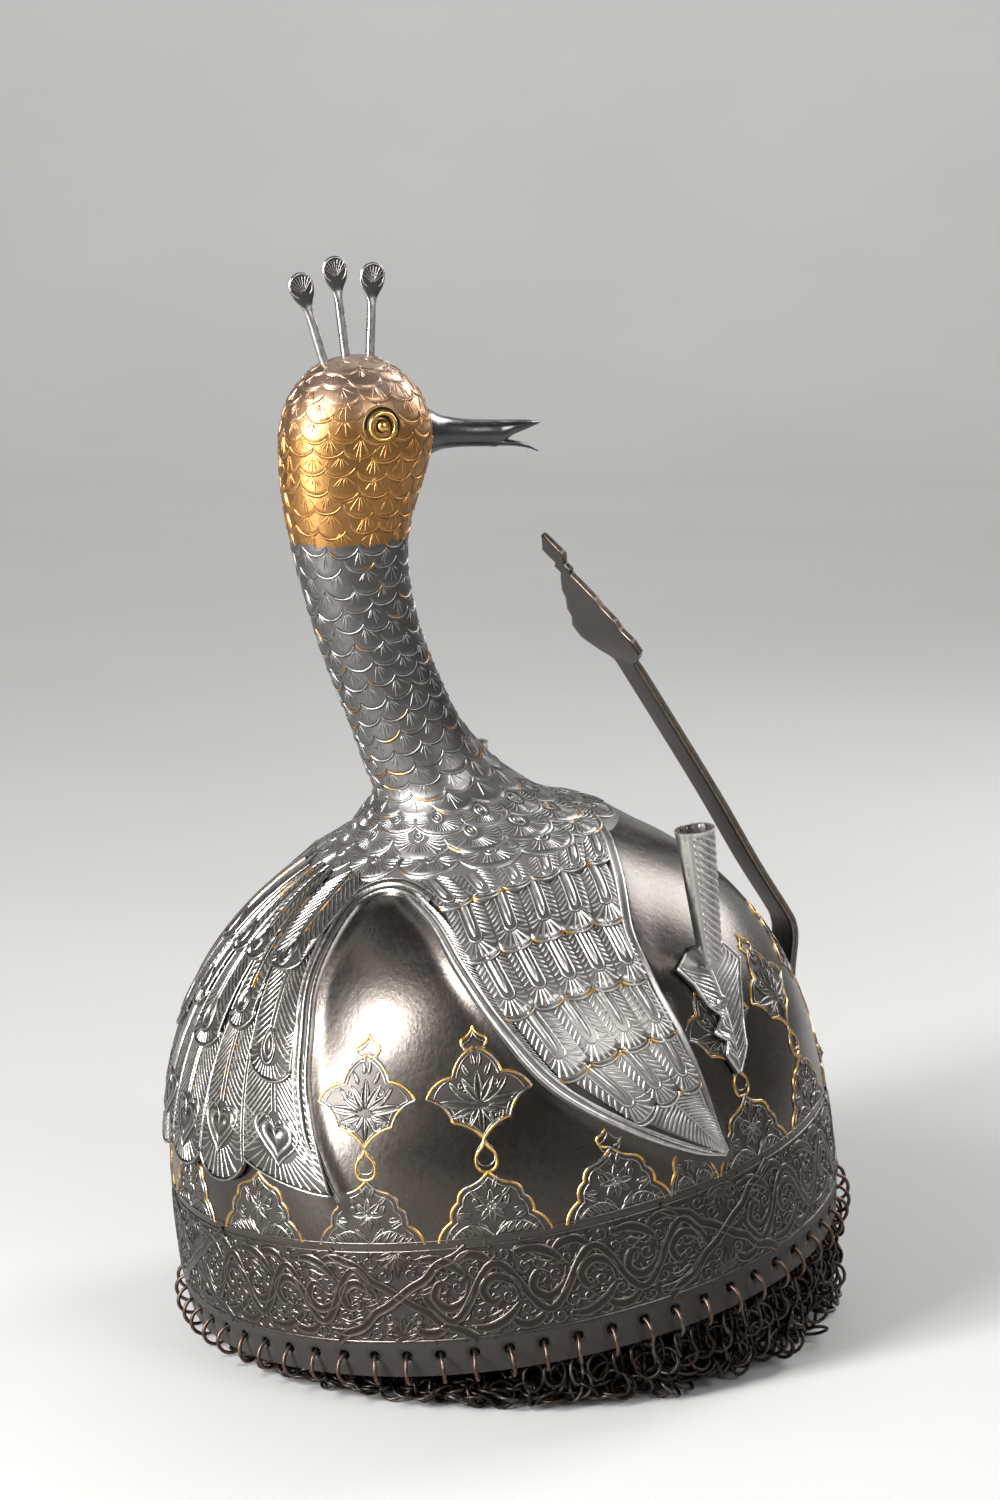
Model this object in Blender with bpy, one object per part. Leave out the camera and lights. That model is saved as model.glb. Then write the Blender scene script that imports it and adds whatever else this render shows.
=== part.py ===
"""A kulah khud in the form of a peacock, with its nasal bar raised, resting on its gathered mail.

All sizes are in millimetres, and MM turns them into Blender's metres. The hard pieces are
modelled in the helmet's own frame: the origin is the centre of the skull's lower edge, +X is the
wearer's front, -Y the wearer's right and +Z the crown. An empty then tips that frame back, as
the helmet lies on its mail. Azimuths are degrees from the front towards the wearer's right.
"""

import math

import bmesh
import bpy
from mathutils import Matrix, Vector

MM = 0.001
GAP = 0.4  # between neighbouring pieces

# The skull
SKULL_RADIUS = 110.0  # from back to front, outside
SIDE_RATIO = 0.94  # width over length
SKULL_HEIGHT = 150.0
SHOULDER_HEIGHT = 12.0  # where the skull is widest
HEIGHT_POWER, RADIUS_POWER = 2.8, 1.9  # of the skull's profile
SKULL_LEAN = 0.012  # how far its axis leads forward, for each step up
RIM_TAPER = 1.2  # how far the edge turns in below the shoulder
WALL = 1.8
SEGMENTS = 64
OUTER_HEIGHTS = (0.0, 12.0, 27.0, 41.0, 56.0, 70.0, 83.0, 96.0, 107.0, 117.0, 126.0, 134.0, 140.5, 146.0)
INNER_HEIGHTS = (0.0, 22.0, 45.0, 66.0, 86.0, 104.0, 120.0, 133.0, 143.5)

# The rim's holes and rings
RING_COUNT = 64
HOLE_HEIGHT = 7.0
HOLE_RADIUS = 1.6
HOLE_SIDES = 6
RING_GROUPS = 8
RING_RADIUS = 4.8  # to the middle of the wire
WIRE_RADIUS = 0.55
THREAD_RADIUS = 0.9  # the first row of links, below the rings
THREAD_END = 0.2  # how far it runs past the outer rings, in ring spacings
RING_CENTRE_HEIGHT = 2.6
RING_TURNS, RING_WIRE_SIDES = 8, 3  # faces round a ring and round its wire

# The plumage raised on the skull
RELIEF = 2.4
RELIEF_EDGE = 1.8
RELIEF_ROOT = -1.0  # how deep its solid goes into the wall
NECK_SEAT_RADIUS = 38.0
COLLAR_RADIUS = 38.7  # where the plumage starts, outside the neck's hem
BREAST_HEIGHT = 139.8
WING_COLUMNS = 7
# A row for each section of the wing, from its root to its tip
WING_SECTIONS = (
    # front azimuth, front height, rear azimuth, rear height
    (45.0, 139.5, 138.0, 138.2),
    (62.0, 132.5, 124.5, 130.0),
    (75.0, 119.5, 117.0, 117.5),
    (77.5, 104.0, 110.5, 102.5),
    (76.5, 88.0, 102.5, 83.5),
    (75.5, 72.0, 90.5, 66.0),
    (74.5, 58.0, 80.0, 54.0),
    (73.4, 50.0, 74.0, 49.4),
)
# The tail's side border, from its root down to the corner feather's tip
TAIL_BORDER = (
    # azimuth, height
    (142.0, 137.4),
    (150.5, 132.5),
    (151.6, 118.0),
    (149.2, 103.0),
    (147.7, 89.0),
    (144.7, 72.0),
    (140.4, 57.0),
)
# The tail's lower edge, from that tip to the middle of the back
TAIL_HEM = (
    # azimuth, height
    (140.4, 57.0),
    (150.5, 61.0),
    (160.5, 67.0),
    (163.7, 60.5),
    (167.0, 58.0),
    (170.3, 60.5),
    (173.5, 66.0),
    (176.7, 60.0),
    (180.0, 57.5),
)
FRONT_COLUMNS = 4

# The neck and head, lofted along the bird's middle
NECK_WALL = 1.5
NECK_SIDES = 20
NECK_SECTIONS = (
    # x, height, lean back in degrees, half length, half width
    (-1.2, 152.0, -1.0, 29.6, 28.2),
    (-5.0, 161.7, 6.0, 20.3, 19.6),
    (-11.1, 174.2, 16.0, 16.9, 16.3),
    (-15.2, 189.0, 14.0, 15.9, 15.4),
    (-20.3, 209.5, 9.0, 15.9, 15.3),
    (-22.6, 228.0, 3.0, 16.9, 15.8),
    (-22.8, 242.5, -6.0, 18.6, 16.8),
    (-21.1, 254.0, -9.0, 21.0, 18.3),
    (-18.0, 265.5, -10.0, 23.5, 19.8),
    (-15.4, 276.0, -9.0, 24.4, 20.2),
    (-14.4, 286.0, -6.0, 21.6, 18.0),
    (-14.8, 293.5, -3.0, 15.6, 13.2),
    (-15.6, 298.3, 0.0, 8.6, 7.4),
)
CROWN_OF_HEAD = (-15.9, 299.8)

EYE_PLACE = (-15.0, 279.0)  # x and height
EYE_SEAT_RADIUS = 6.0
EYE_SEAT_DEPTH = 0.7
EYE_PROFILE = (
    # radius, height above the seat
    (5.4, 0.0),
    (5.4, 1.0),
    (4.6, 1.9),
    (3.4, 1.7),
    (3.1, 1.0),
    (2.4, 1.0),
    (2.2, 2.0),
    (1.2, 2.6),
)

BEAK_ROOT = (9.4, 271.0)
BEAK_DROP = 10.0  # degrees below the helmet's level
BEAK_PLUG_RADIUS = 4.6
UPPER_BEAK = (
    # along the beak, middle height, half height, half width
    (-4.5, 0.0, 4.6, 4.6),
    (0.7, 0.0, 4.6, 4.6),
    (0.8, 0.0, 7.2, 6.9),
    (2.4, -0.1, 6.0, 5.6),
    (6.0, -0.3, 4.9, 4.5),
    (13.0, -0.5, 4.4, 4.0),
    (24.0, -0.6, 4.2, 3.4),
    (28.5, 1.0, 2.6, 3.1),
    (34.0, 2.0, 1.5, 2.0),
    (38.6, 2.6, 0.3, 0.5),
)
LOWER_BEAK = (
    # along the beak, middle height, half height, half width
    (16.0, -2.6, 1.2, 2.2),
    (24.0, -3.4, 1.3, 2.7),
    (29.5, -3.9, 1.0, 2.4),
    (34.5, -4.9, 0.7, 1.5),
    (38.2, -6.4, 0.3, 0.5),
)

CREST_ROD_RADIUS = 1.4
CREST_SOCKET_RADIUS = 1.8
CREST_DISC_RADIUS = 4.2
CREST_DISC_HALF = 0.6  # half its thickness
CREST_TANG = 6.0  # below the crown
CREST_FEATHERS = {
    # name: x and height at the crown, x and height at the middle of the disc
    "crest_feather_rear": (-22.3, 296.0, -26.8, 323.3),
    "crest_feather_middle": (-15.3, 299.0, -14.9, 326.4),
    "crest_feather_front": (-7.1, 298.8, -2.6, 322.4),
}

# The plume holders
PLUME_LENGTH = 43.0
PLUME_TOP_RADIUS, PLUME_FOOT_RADIUS = 6.1, 3.5
PLUME_BORE_TOP, PLUME_BORE_FOOT = 5.1, 2.3
PLUME_FLOOR = 3.0  # solid below the bore
PLUME_FOOT = (44.0, 80.0, 104.5)  # x, distance from the middle and height of its lower end
SOLDER_HALF = 1.7
SOLDER_HEIGHTS = (98.5, 103.0, 108.0)
SOLDER_TOP = 6.5  # above the tube's foot
PLATE_LIFT = 0.6  # its underside above the skull
PLATE_THICKNESS = 1.2
PLATE_OUTLINE = (
    # height, front azimuth, rear azimuth
    (107.0, 57.5, 66.0),
    (104.0, 53.5, 70.6),
    (98.5, 51.8, 68.7),
    (95.0, 55.0, 68.4),
    (91.5, 57.0, 67.8),
    (87.5, 59.0, 65.8),
    (84.0, 60.5, 69.2),
    (80.5, 61.5, 66.9),
    (77.0, 62.2, 68.4),
    (70.3, 66.2, 66.9),
)
RIVET_PLACE = (64.3, 91.3)  # azimuth and height
RIVET_RADIUS = 2.3

# The nasal bar and its bracket
BAR_FRONT = 114.4  # its outer face at the bracket
BAR_MIDDLE = 113.0
NASAL_SECTIONS = (
    # x, height, half width, half thickness
    (121.2, 9.5, 0.8, 0.6),
    (119.4, 12.5, 3.6, 1.0),
    (117.6, 16.5, 7.4, 1.1),
    (115.4, 21.0, 6.2, 1.2),
    (113.1, 24.5, 4.8, 1.3),
    (113.0, 26.5, 6.9, 1.4),
    (113.0, 42.0, 6.9, 1.4),
    (112.1, 56.0, 6.9, 1.4),
    (112.1, 64.5, 6.9, 1.4),
    (113.6, 71.5, 6.9, 1.4),
    (115.0, 77.5, 6.9, 1.4),
    (115.0, 82.5, 6.9, 1.4),
    (113.1, 87.8, 6.9, 1.4),
    (103.8, 107.0, 6.9, 1.4),
    (91.9, 134.2, 6.9, 1.4),
    (72.8, 174.6, 6.9, 1.4),
    (68.2, 183.8, 6.9, 1.3),
    (66.0, 186.8, 14.0, 1.1),
    (63.4, 190.6, 21.0, 1.0),
    (61.1, 194.8, 21.5, 1.0),
    (59.3, 198.6, 17.2, 1.0),
    (57.8, 201.9, 16.8, 1.0),
    (55.7, 206.4, 12.2, 1.0),
    (54.3, 209.4, 11.4, 1.0),
    (52.1, 214.2, 6.4, 1.0),
    (50.8, 217.0, 2.9, 1.0),
    (49.9, 219.0, 5.4, 1.0),
    (49.1, 220.8, 2.7, 1.0),
    (47.2, 224.9, 7.2, 1.0),
    (44.4, 231.0, 0.6, 0.8),
)
BRACKET_HEIGHTS = (27.5, 39.0)
BRACKET_SLOT_HALF = 7.5
BRACKET_INSIDE_X = 114.9
BRACKET_WALL = 1.9
BRACKET_FOOT_HALF = 17.0
BRACKET_FOOT = 1.5
SCREW_HEIGHT = 33.2
SCREW_RADIUS = 1.9
SCREW_HOLE_RADIUS = 2.3
SCREW_HEAD_RADIUS = 4.2
SCREW_HEAD = (117.2, 122.6)

# The mail, gathered under the helmet
MAIL_STEPS = 40
MAIL_SECTIONS = (
    # azimuth, outer radius, inner radius, height over the room below the rings
    (0.0, 108.0, 74.0, 0.86),
    (25.0, 112.5, 75.0, 0.97),
    (50.0, 113.5, 76.0, 0.90),
    (75.0, 110.0, 77.0, 0.99),
    (100.0, 107.0, 78.0, 0.88),
    (125.0, 103.5, 79.0, 0.93),
    (150.0, 104.0, 80.0, 0.90),
    (180.0, 105.0, 80.0, 0.95),
    (210.0, 104.0, 80.0, 0.90),
    (235.0, 104.5, 79.0, 0.95),
    (260.0, 107.0, 78.0, 0.90),
    (285.0, 110.0, 77.0, 0.97),
    (310.0, 112.0, 76.0, 0.92),
    (335.0, 111.5, 75.0, 0.96),
)

# How the helmet lies
TIP_BACK = 8.3  # degrees, front up
EDGE_HEIGHT = 23.1  # the middle of the skull's edge above the floor
FORWARD = -1.54  # centres the whole on the origin


def new_material(name, colour, roughness, metallic):
    material = bpy.data.materials.new(name)
    material.use_nodes = True
    shader = material.node_tree.nodes["Principled BSDF"]
    shader.inputs["Base Color"].default_value = (*colour, 1.0)
    shader.inputs["Roughness"].default_value = roughness
    shader.inputs["Metallic"].default_value = metallic
    return material


def new_object(name, points, faces, material=None, parent=None):
    """An object from points in millimetres, with its faces turned outwards."""
    mesh = bpy.data.meshes.new(name)
    bm = bmesh.new()
    verts = [bm.verts.new(Vector(p) * MM) for p in points]
    for face in faces:
        bm.faces.new([verts[i] for i in face])
    bmesh.ops.recalc_face_normals(bm, faces=bm.faces)
    bm.to_mesh(mesh)
    bm.free()
    mesh.shade_smooth()
    mesh.set_sharp_from_angle(angle=math.radians(35))
    thing = bpy.data.objects.new(name, mesh)
    bpy.context.scene.collection.objects.link(thing)
    if material:
        mesh.materials.append(material)
    thing.parent = parent
    return thing


def use_boolean(thing, operand, operation):
    """The operand is a guide only, and the modifier keeps it on the finished piece."""
    modifier = thing.modifiers.new(operand.name, "BOOLEAN")
    modifier.operation = operation
    modifier.solver = "EXACT"
    modifier.object = operand
    operand.parent = thing.parent
    operand.hide_render = True
    operand.display_type = "WIRE"


def loft_faces(rings, sides, start=0, cap_start=True, cap_end=True):
    """Quads between successive rings of points numbered from start, with flat ends."""
    faces = []
    for ring in range(rings - 1):
        low = start + ring * sides
        for side in range(sides):
            after = (side + 1) % sides
            faces.append((low + side, low + after, low + sides + after, low + sides + side))
    if cap_start:
        faces.append(tuple(reversed(range(start, start + sides))))
    if cap_end:
        last = start + (rings - 1) * sides
        faces.append(tuple(range(last, last + sides)))
    return faces


def blend_rows(rows, steps):
    """Catmull-Rom rows between the rows of a table."""
    found = []
    for i in range(len(rows) - 1):
        before, after = rows[max(i - 1, 0)], rows[min(i + 2, len(rows) - 1)]
        for step in range(steps):
            t = step / steps
            found.append(
                tuple(
                    0.5
                    * (
                        2 * b
                        + (c - a) * t
                        + (2 * a - 5 * b + 4 * c - d) * t**2
                        + (3 * b - a - 3 * c + d) * t**3
                    )
                    for a, b, c, d in zip(before, rows[i], rows[i + 1], after)
                )
            )
    found.append(rows[-1])
    return found


def skull_radius(height):
    if height <= SHOULDER_HEIGHT:
        return SKULL_RADIUS - RIM_TAPER * ((SHOULDER_HEIGHT - height) / SHOULDER_HEIGHT) ** 2
    rise = min((height - SHOULDER_HEIGHT) / (SKULL_HEIGHT - SHOULDER_HEIGHT), 1.0)
    return SKULL_RADIUS * (1 - rise**HEIGHT_POWER) ** (1 / RADIUS_POWER)


def skull_height(radius):
    """The height above the shoulder at which the skull has this radius."""
    rise = (1 - (radius / SKULL_RADIUS) ** RADIUS_POWER) ** (1 / HEIGHT_POWER)
    return SHOULDER_HEIGHT + (SKULL_HEIGHT - SHOULDER_HEIGHT) * rise


def on_skull(azimuth, height, lift=0.0):
    """The point of the skull's outer surface there, moved out along its normal by lift."""
    angle = math.radians(azimuth)
    step = 0.05
    radius = skull_radius(height)
    slope = (skull_radius(height + step) - skull_radius(height - step)) / (2 * step)
    outward = Vector((SIDE_RATIO * math.cos(angle), -math.sin(angle), -SIDE_RATIO * slope))
    lead = SKULL_LEAN * height
    point = Vector((lead + radius * math.cos(angle), -SIDE_RATIO * radius * math.sin(angle), height))
    return point + lift * outward.normalized()


def turned(profile, sides):
    """Points and faces of a solid turned about Z from a profile of radius and height."""
    points = []
    for radius, height in profile:
        for side in range(sides):
            angle = 2 * math.pi * side / sides
            points.append((radius * math.cos(angle), radius * math.sin(angle), height))
    return points, loft_faces(len(profile), sides)


def make_skull_blank(material, parent):
    """The plain skull: an outer and an inner dome, joined along the edge."""
    points, rings = [], []
    for heights, lift in ((OUTER_HEIGHTS, 0.0), (INNER_HEIGHTS, -WALL)):
        rings.append(len(points))
        for height in heights:
            for side in range(SEGMENTS):
                points.append(on_skull(360 * side / SEGMENTS, height, lift))
    for apex in (SKULL_HEIGHT, SKULL_HEIGHT - WALL):
        points.append(Vector((SKULL_LEAN * apex, 0, apex)))
    faces = loft_faces(len(OUTER_HEIGHTS), SEGMENTS, rings[0], False, False)
    faces += loft_faces(len(INNER_HEIGHTS), SEGMENTS, rings[1], False, False)
    tops = (rings[1] - SEGMENTS, rings[1] + (len(INNER_HEIGHTS) - 1) * SEGMENTS)
    for side in range(SEGMENTS):
        after = (side + 1) % SEGMENTS
        faces.append((rings[0] + side, rings[0] + after, rings[1] + after, rings[1] + side))
        for top, apex in zip(tops, (len(points) - 2, len(points) - 1)):
            faces.append((top + side, top + after, apex))
    return new_object("bowl", points, faces, material, parent)


def make_hole_cutter():
    """One short prism for each rim hole, all in one guide."""
    points, faces = [], []
    for ring in range(RING_COUNT):
        azimuth = 360 * (ring + 0.5) / RING_COUNT
        centre = on_skull(azimuth, HOLE_HEIGHT, -WALL / 2)
        outward = Vector((math.cos(math.radians(azimuth)), -math.sin(math.radians(azimuth)), 0))
        along = Vector((-outward.y, outward.x, 0))
        start = len(points)
        for depth in (-3.0, 3.0):
            for side in range(HOLE_SIDES):
                angle = 2 * math.pi * side / HOLE_SIDES
                across = along * math.cos(angle) + Vector((0, 0, 1)) * math.sin(angle)
                points.append(centre + depth * outward + HOLE_RADIUS * across)
        faces += loft_faces(2, HOLE_SIDES, start)
    return new_object("rim_hole_cutter", points, faces)


def wing_grid():
    """Rows of (azimuth, height) from the wing's root to its tip, front border first."""
    grid = []
    for front_az, front_z, rear_az, rear_z in blend_rows(WING_SECTIONS, 2):
        row = []
        for column in range(WING_COLUMNS + 1):
            t = column / WING_COLUMNS
            row.append((front_az + (rear_az - front_az) * t, front_z + (rear_z - front_z) * t))
        grid.append(row)
    return grid


def tail_grid():
    """Rows of (azimuth, height) from the tail's root to its hem, side border first."""
    border = blend_rows(TAIL_BORDER, 2)
    columns = len(TAIL_HEM) - 1
    grid = []
    for border_az, border_z in border[:-1]:
        fall = (TAIL_BORDER[0][1] - border_z) / (TAIL_BORDER[0][1] - TAIL_BORDER[-1][1])
        row = []
        for column in range(columns + 1):
            hem_az, hem_z = TAIL_HEM[column]
            share = (hem_az - TAIL_HEM[0][0]) / (180.0 - TAIL_HEM[0][0])
            even = column / columns
            across = even + (share - even) * fall
            height = border_z + (hem_z - TAIL_BORDER[-1][1]) * fall**4
            row.append((border_az + (180.0 - border_az) * across, height))
        grid.append(row)
    grid.append(list(TAIL_HEM))
    return grid


def plumage_grids():
    """The right half's patches: collar, wing and tail, which share their border points."""
    wing, tail = wing_grid(), tail_grid()
    front_az = WING_SECTIONS[0][0]
    breast = [(front_az * i / FRONT_COLUMNS, BREAST_HEIGHT) for i in range(FRONT_COLUMNS)]
    edge = breast + wing[0] + tail[0]
    top = skull_height(COLLAR_RADIUS)
    collar = [edge]
    for share in (0.5, 1.0):
        collar.append([(azimuth, height + (top - height) * share) for azimuth, height in edge])
    return collar, wing, tail


def make_plumage():
    """The breast, wings and tail that stand up from the skull, as one raised sheet."""
    index, charted, faces = {}, [], []

    def corner(azimuth, height):
        key = (round(azimuth, 3), round(height, 3))
        if key not in index:
            index[key] = len(charted)
            charted.append(key)
        return index[key]

    for side in (1, -1):
        for grid in plumage_grids():
            for low, high in zip(grid, grid[1:]):
                for i in range(len(low) - 1):
                    cell = (low[i], low[i + 1], high[i + 1], high[i])
                    turned_cell = [(180.0 if az == 180.0 else side * az, z) for az, z in cell]
                    face = [corner(*c) for c in turned_cell]
                    faces.append(tuple(dict.fromkeys(face)))
    edges = {}
    for face in faces:
        for a, b in zip(face, face[1:] + face[:1]):
            edges.setdefault(frozenset((a, b)), []).append((a, b))
    border = [pairs[0] for pairs in edges.values() if len(pairs) == 1]
    on_border = {i for pair in border for i in pair}
    count = len(charted)
    collar_top = round(skull_height(COLLAR_RADIUS), 3)
    points = []
    for i, (azimuth, height) in enumerate(charted):
        low_edge = i in on_border and height != collar_top
        points.append(on_skull(azimuth, height, RELIEF_EDGE if low_edge else RELIEF))
    points += [on_skull(azimuth, height, RELIEF_ROOT) for azimuth, height in charted]
    under = [tuple(count + i for i in reversed(face)) for face in faces]
    walls = [(a, b, count + b, count + a) for a, b in border]
    return new_object("plumage_guide", points, faces + under + walls)


def make_bowl(material, parent):
    bowl = make_skull_blank(material, parent)
    use_boolean(bowl, make_plumage(), "UNION")
    use_boolean(bowl, make_hole_cutter(), "DIFFERENCE")
    return bowl


def neck_ring(x, height, lean, half_length, half_width):
    lean = math.radians(lean)
    fore = Vector((math.cos(lean), 0, math.sin(lean)))
    ring = []
    for side in range(NECK_SIDES):
        angle = 2 * math.pi * side / NECK_SIDES
        across = Vector((0, -half_width * math.sin(angle), 0))
        ring.append(Vector((x, 0, height)) + half_length * math.cos(angle) * fore + across)
    return ring


def make_neck_and_head(material, parent):
    """A hollow loft, open below, whose hem lies on the crown of the skull."""
    seat = skull_height(NECK_SEAT_RADIUS)
    hem = [
        on_skull(360 * side / NECK_SIDES, seat, NECK_WALL + GAP)
        for side in range(NECK_SIDES)
    ]
    rings = [hem] + [neck_ring(*row) for row in blend_rows(NECK_SECTIONS, 2)]
    points = [p for ring in rings for p in ring]
    faces = loft_faces(len(rings), NECK_SIDES, 0, False, False)
    points.append(Vector((CROWN_OF_HEAD[0], 0, CROWN_OF_HEAD[1])))
    last = (len(rings) - 1) * NECK_SIDES
    for side in range(NECK_SIDES):
        faces.append((last + side, last + (side + 1) % NECK_SIDES, len(points) - 1))
    neck = new_object("neck_and_head", points, faces, material, parent)
    shell = neck.modifiers.new("wall", "SOLIDIFY")
    shell.thickness = NECK_WALL * MM
    shell.offset = -1.0
    shell.use_even_offset = True
    for side in (1, -1):
        use_boolean(neck, make_eye_seat(side), "DIFFERENCE")
    use_boolean(neck, make_beak_hole(), "DIFFERENCE")
    for name, place in CREST_FEATHERS.items():
        use_boolean(neck, make_crest_hole(name, place), "DIFFERENCE")
    return neck


def head_side_at_eye():
    """Half the head's width at the eye."""
    low, high = NECK_SECTIONS[9], NECK_SECTIONS[10]
    share = (EYE_PLACE[1] - low[1]) / (high[1] - low[1])
    return low[4] + (high[4] - low[4]) * share


def eye_matrix(side):
    """Places a piece turned about Z on the head's side, facing outwards."""
    out = head_side_at_eye() - EYE_SEAT_DEPTH
    place = Vector((EYE_PLACE[0], -side * out, EYE_PLACE[1])) * MM
    return Matrix.Translation(place) @ Matrix.Rotation(side * math.pi / 2, 4, "X")


def make_eye_seat(side):
    profile = ((EYE_SEAT_RADIUS, 0.0), (EYE_SEAT_RADIUS, 6.0))
    seat = new_object(f"eye_seat_cutter_{'right' if side > 0 else 'left'}", *turned(profile, 20))
    seat.matrix_local = eye_matrix(side)
    return seat


def make_eye(side, material, parent):
    profile = [(radius, height + GAP) for radius, height in EYE_PROFILE]
    name = "eye_right" if side > 0 else "eye_left"
    eye = new_object(name, *turned(profile, 20), material, parent)
    eye.matrix_local = eye_matrix(side)
    return eye


def beak_matrix():
    """The beak's own X runs along it, from the head's surface outwards."""
    place = Vector((BEAK_ROOT[0], 0, BEAK_ROOT[1])) * MM
    return Matrix.Translation(place) @ Matrix.Rotation(math.radians(BEAK_DROP), 4, "Y")


def beak_loft(rows, sides):
    points = []
    for along, middle, half_height, half_width in rows:
        for side in range(sides):
            angle = 2 * math.pi * side / sides
            points.append((along, half_width * math.cos(angle), middle + half_height * math.sin(angle)))
    return points, loft_faces(len(rows), sides)


def make_beak(material, parent):
    beak = new_object("beak", *beak_loft(UPPER_BEAK, 14), material, parent)
    beak.matrix_local = beak_matrix()
    lower = new_object("lower_beak_guide", *beak_loft(LOWER_BEAK, 10))
    use_boolean(beak, lower, "UNION")
    lower.matrix_local = beak_matrix()
    return beak


def make_beak_hole():
    radius = BEAK_PLUG_RADIUS + GAP
    rows = ((-6.0, 0.0, radius, radius), (4.0, 0.0, radius, radius))
    hole = new_object("beak_hole_cutter", *beak_loft(rows, 14))
    hole.matrix_local = beak_matrix()
    return hole


def crest_matrix(place):
    """The feather's own Z runs up its rod from the crown, and its disc faces sideways."""
    x, height, disc_x, disc_height = place
    lean = math.atan2(disc_x - x, disc_height - height)
    at = Vector((x, 0, height)) * MM
    return Matrix.Translation(at) @ Matrix.Rotation(lean, 4, "Y")


def make_crest_feather(name, place, material, parent):
    x, height, disc_x, disc_height = place
    length = math.hypot(disc_x - x, disc_height - height)
    rod, disc, half = CREST_ROD_RADIUS, CREST_DISC_RADIUS, CREST_DISC_HALF
    rows = [(-CREST_TANG, rod, rod), (length * 0.45, rod * 1.05, rod)]
    rows.append((length - disc * 1.6, rod * 1.15, rod * 0.75))
    for angle in (-60, -30, 0, 30, 60, 85):
        turn = math.radians(angle)
        rows.append((length + disc * math.sin(turn), disc * math.cos(turn), half))
    sides, points = 8, []
    for up, half_width, half_thick in rows:
        for side in range(sides):
            angle = 2 * math.pi * (side + 0.5) / sides
            points.append((half_width * math.cos(angle), half_thick * math.sin(angle), up))
    feather = new_object(name, points, loft_faces(len(rows), sides), material, parent)
    feather.matrix_local = crest_matrix(place)
    return feather


def make_crest_hole(name, place):
    profile = ((CREST_SOCKET_RADIUS, -9.0), (CREST_SOCKET_RADIUS, 6.0))
    hole = new_object(f"{name}_socket_cutter", *turned(profile, 8))
    hole.matrix_local = crest_matrix(place)
    return hole


def make_plate_guide(side):
    """The leaf plate, a thin sheet over the skull."""
    columns = (0.0, 0.25, 0.5, 0.75, 1.0)
    points, faces = [], []
    for lift in (PLATE_LIFT, PLATE_LIFT + PLATE_THICKNESS):
        for height, front, rear in PLATE_OUTLINE:
            for column in columns:
                points.append(on_skull(side * (front + (rear - front) * column), height, lift))
    rows = len(points) // 2 // len(columns)
    layer = rows * len(columns)
    wide = len(columns)
    for row in range(rows - 1):
        for i in range(wide - 1):
            a = row * wide + i
            cell = (a, a + 1, a + wide + 1, a + wide)
            faces += [cell, tuple(layer + c for c in reversed(cell))]
    for row in range(rows - 1):
        for i in (0, wide - 1):
            a, b = row * wide + i, (row + 1) * wide + i
            faces.append((a, b, layer + b, layer + a))
    for row in (0, rows - 1):
        for i in range(wide - 1):
            a = row * wide + i
            faces.append((a, a + 1, layer + a + 1, layer + a))
    return points, faces


def make_plume_holder(side, material, parent):
    """A tapered tube, closed at its foot, soldered to the leaf plate."""
    name = "plume_holder_right" if side > 0 else "plume_holder_left"
    profile = (
        (PLUME_FOOT_RADIUS, 0.0),
        (PLUME_TOP_RADIUS, PLUME_LENGTH),
        (PLUME_BORE_TOP, PLUME_LENGTH),
        (PLUME_BORE_FOOT, PLUME_FLOOR),
    )
    points, faces = turned(profile, 16)
    foot = Vector((PLUME_FOOT[0], -side * PLUME_FOOT[1], PLUME_FOOT[2]))
    points = [Vector(p) + foot for p in points]
    holder = new_object(name, *make_plate_guide(side), material, parent)
    use_boolean(holder, make_solder_web(side, foot), "UNION")
    use_boolean(holder, new_object(f"{name}_tube_guide", points, faces), "UNION")
    return holder


def make_solder_web(side, foot):
    """The filled corner between the tube's foot and its plate."""
    azimuth = math.degrees(math.atan2(PLUME_FOOT[1] / SIDE_RATIO, PLUME_FOOT[0]))
    rows = [on_skull(side * azimuth, height, PLATE_LIFT + 0.2) for height in SOLDER_HEIGHTS]
    rows += [foot + Vector((0, 0, SOLDER_TOP)), foot + Vector((0, 0, 0.8))]
    inward = (rows[0] - foot).normalized()
    across = inward.cross(Vector((0, 0, 1))).normalized() * SOLDER_HALF
    points = [p - across for p in rows] + [p + across for p in rows]
    name = f"solder_guide_{'right' if side > 0 else 'left'}"
    return new_object(name, points, loft_faces(2, len(rows)))


def make_plume_rivet(side, material, parent):
    name = "plume_rivet_right" if side > 0 else "plume_rivet_left"
    lift = PLATE_LIFT + PLATE_THICKNESS + GAP
    azimuth, height = RIVET_PLACE
    base = on_skull(side * azimuth, height, lift)
    outward = (on_skull(side * azimuth, height, lift + 1) - base).normalized()
    profile = [(RIVET_RADIUS, 0.0), (2.0, 0.9), (1.1, 1.5)]
    rivet = new_object(name, *turned(profile, 12), material, parent)
    rivet.location = base * MM
    rivet.rotation_euler = outward.to_track_quat("Z", "Y").to_euler()
    return rivet


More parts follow.
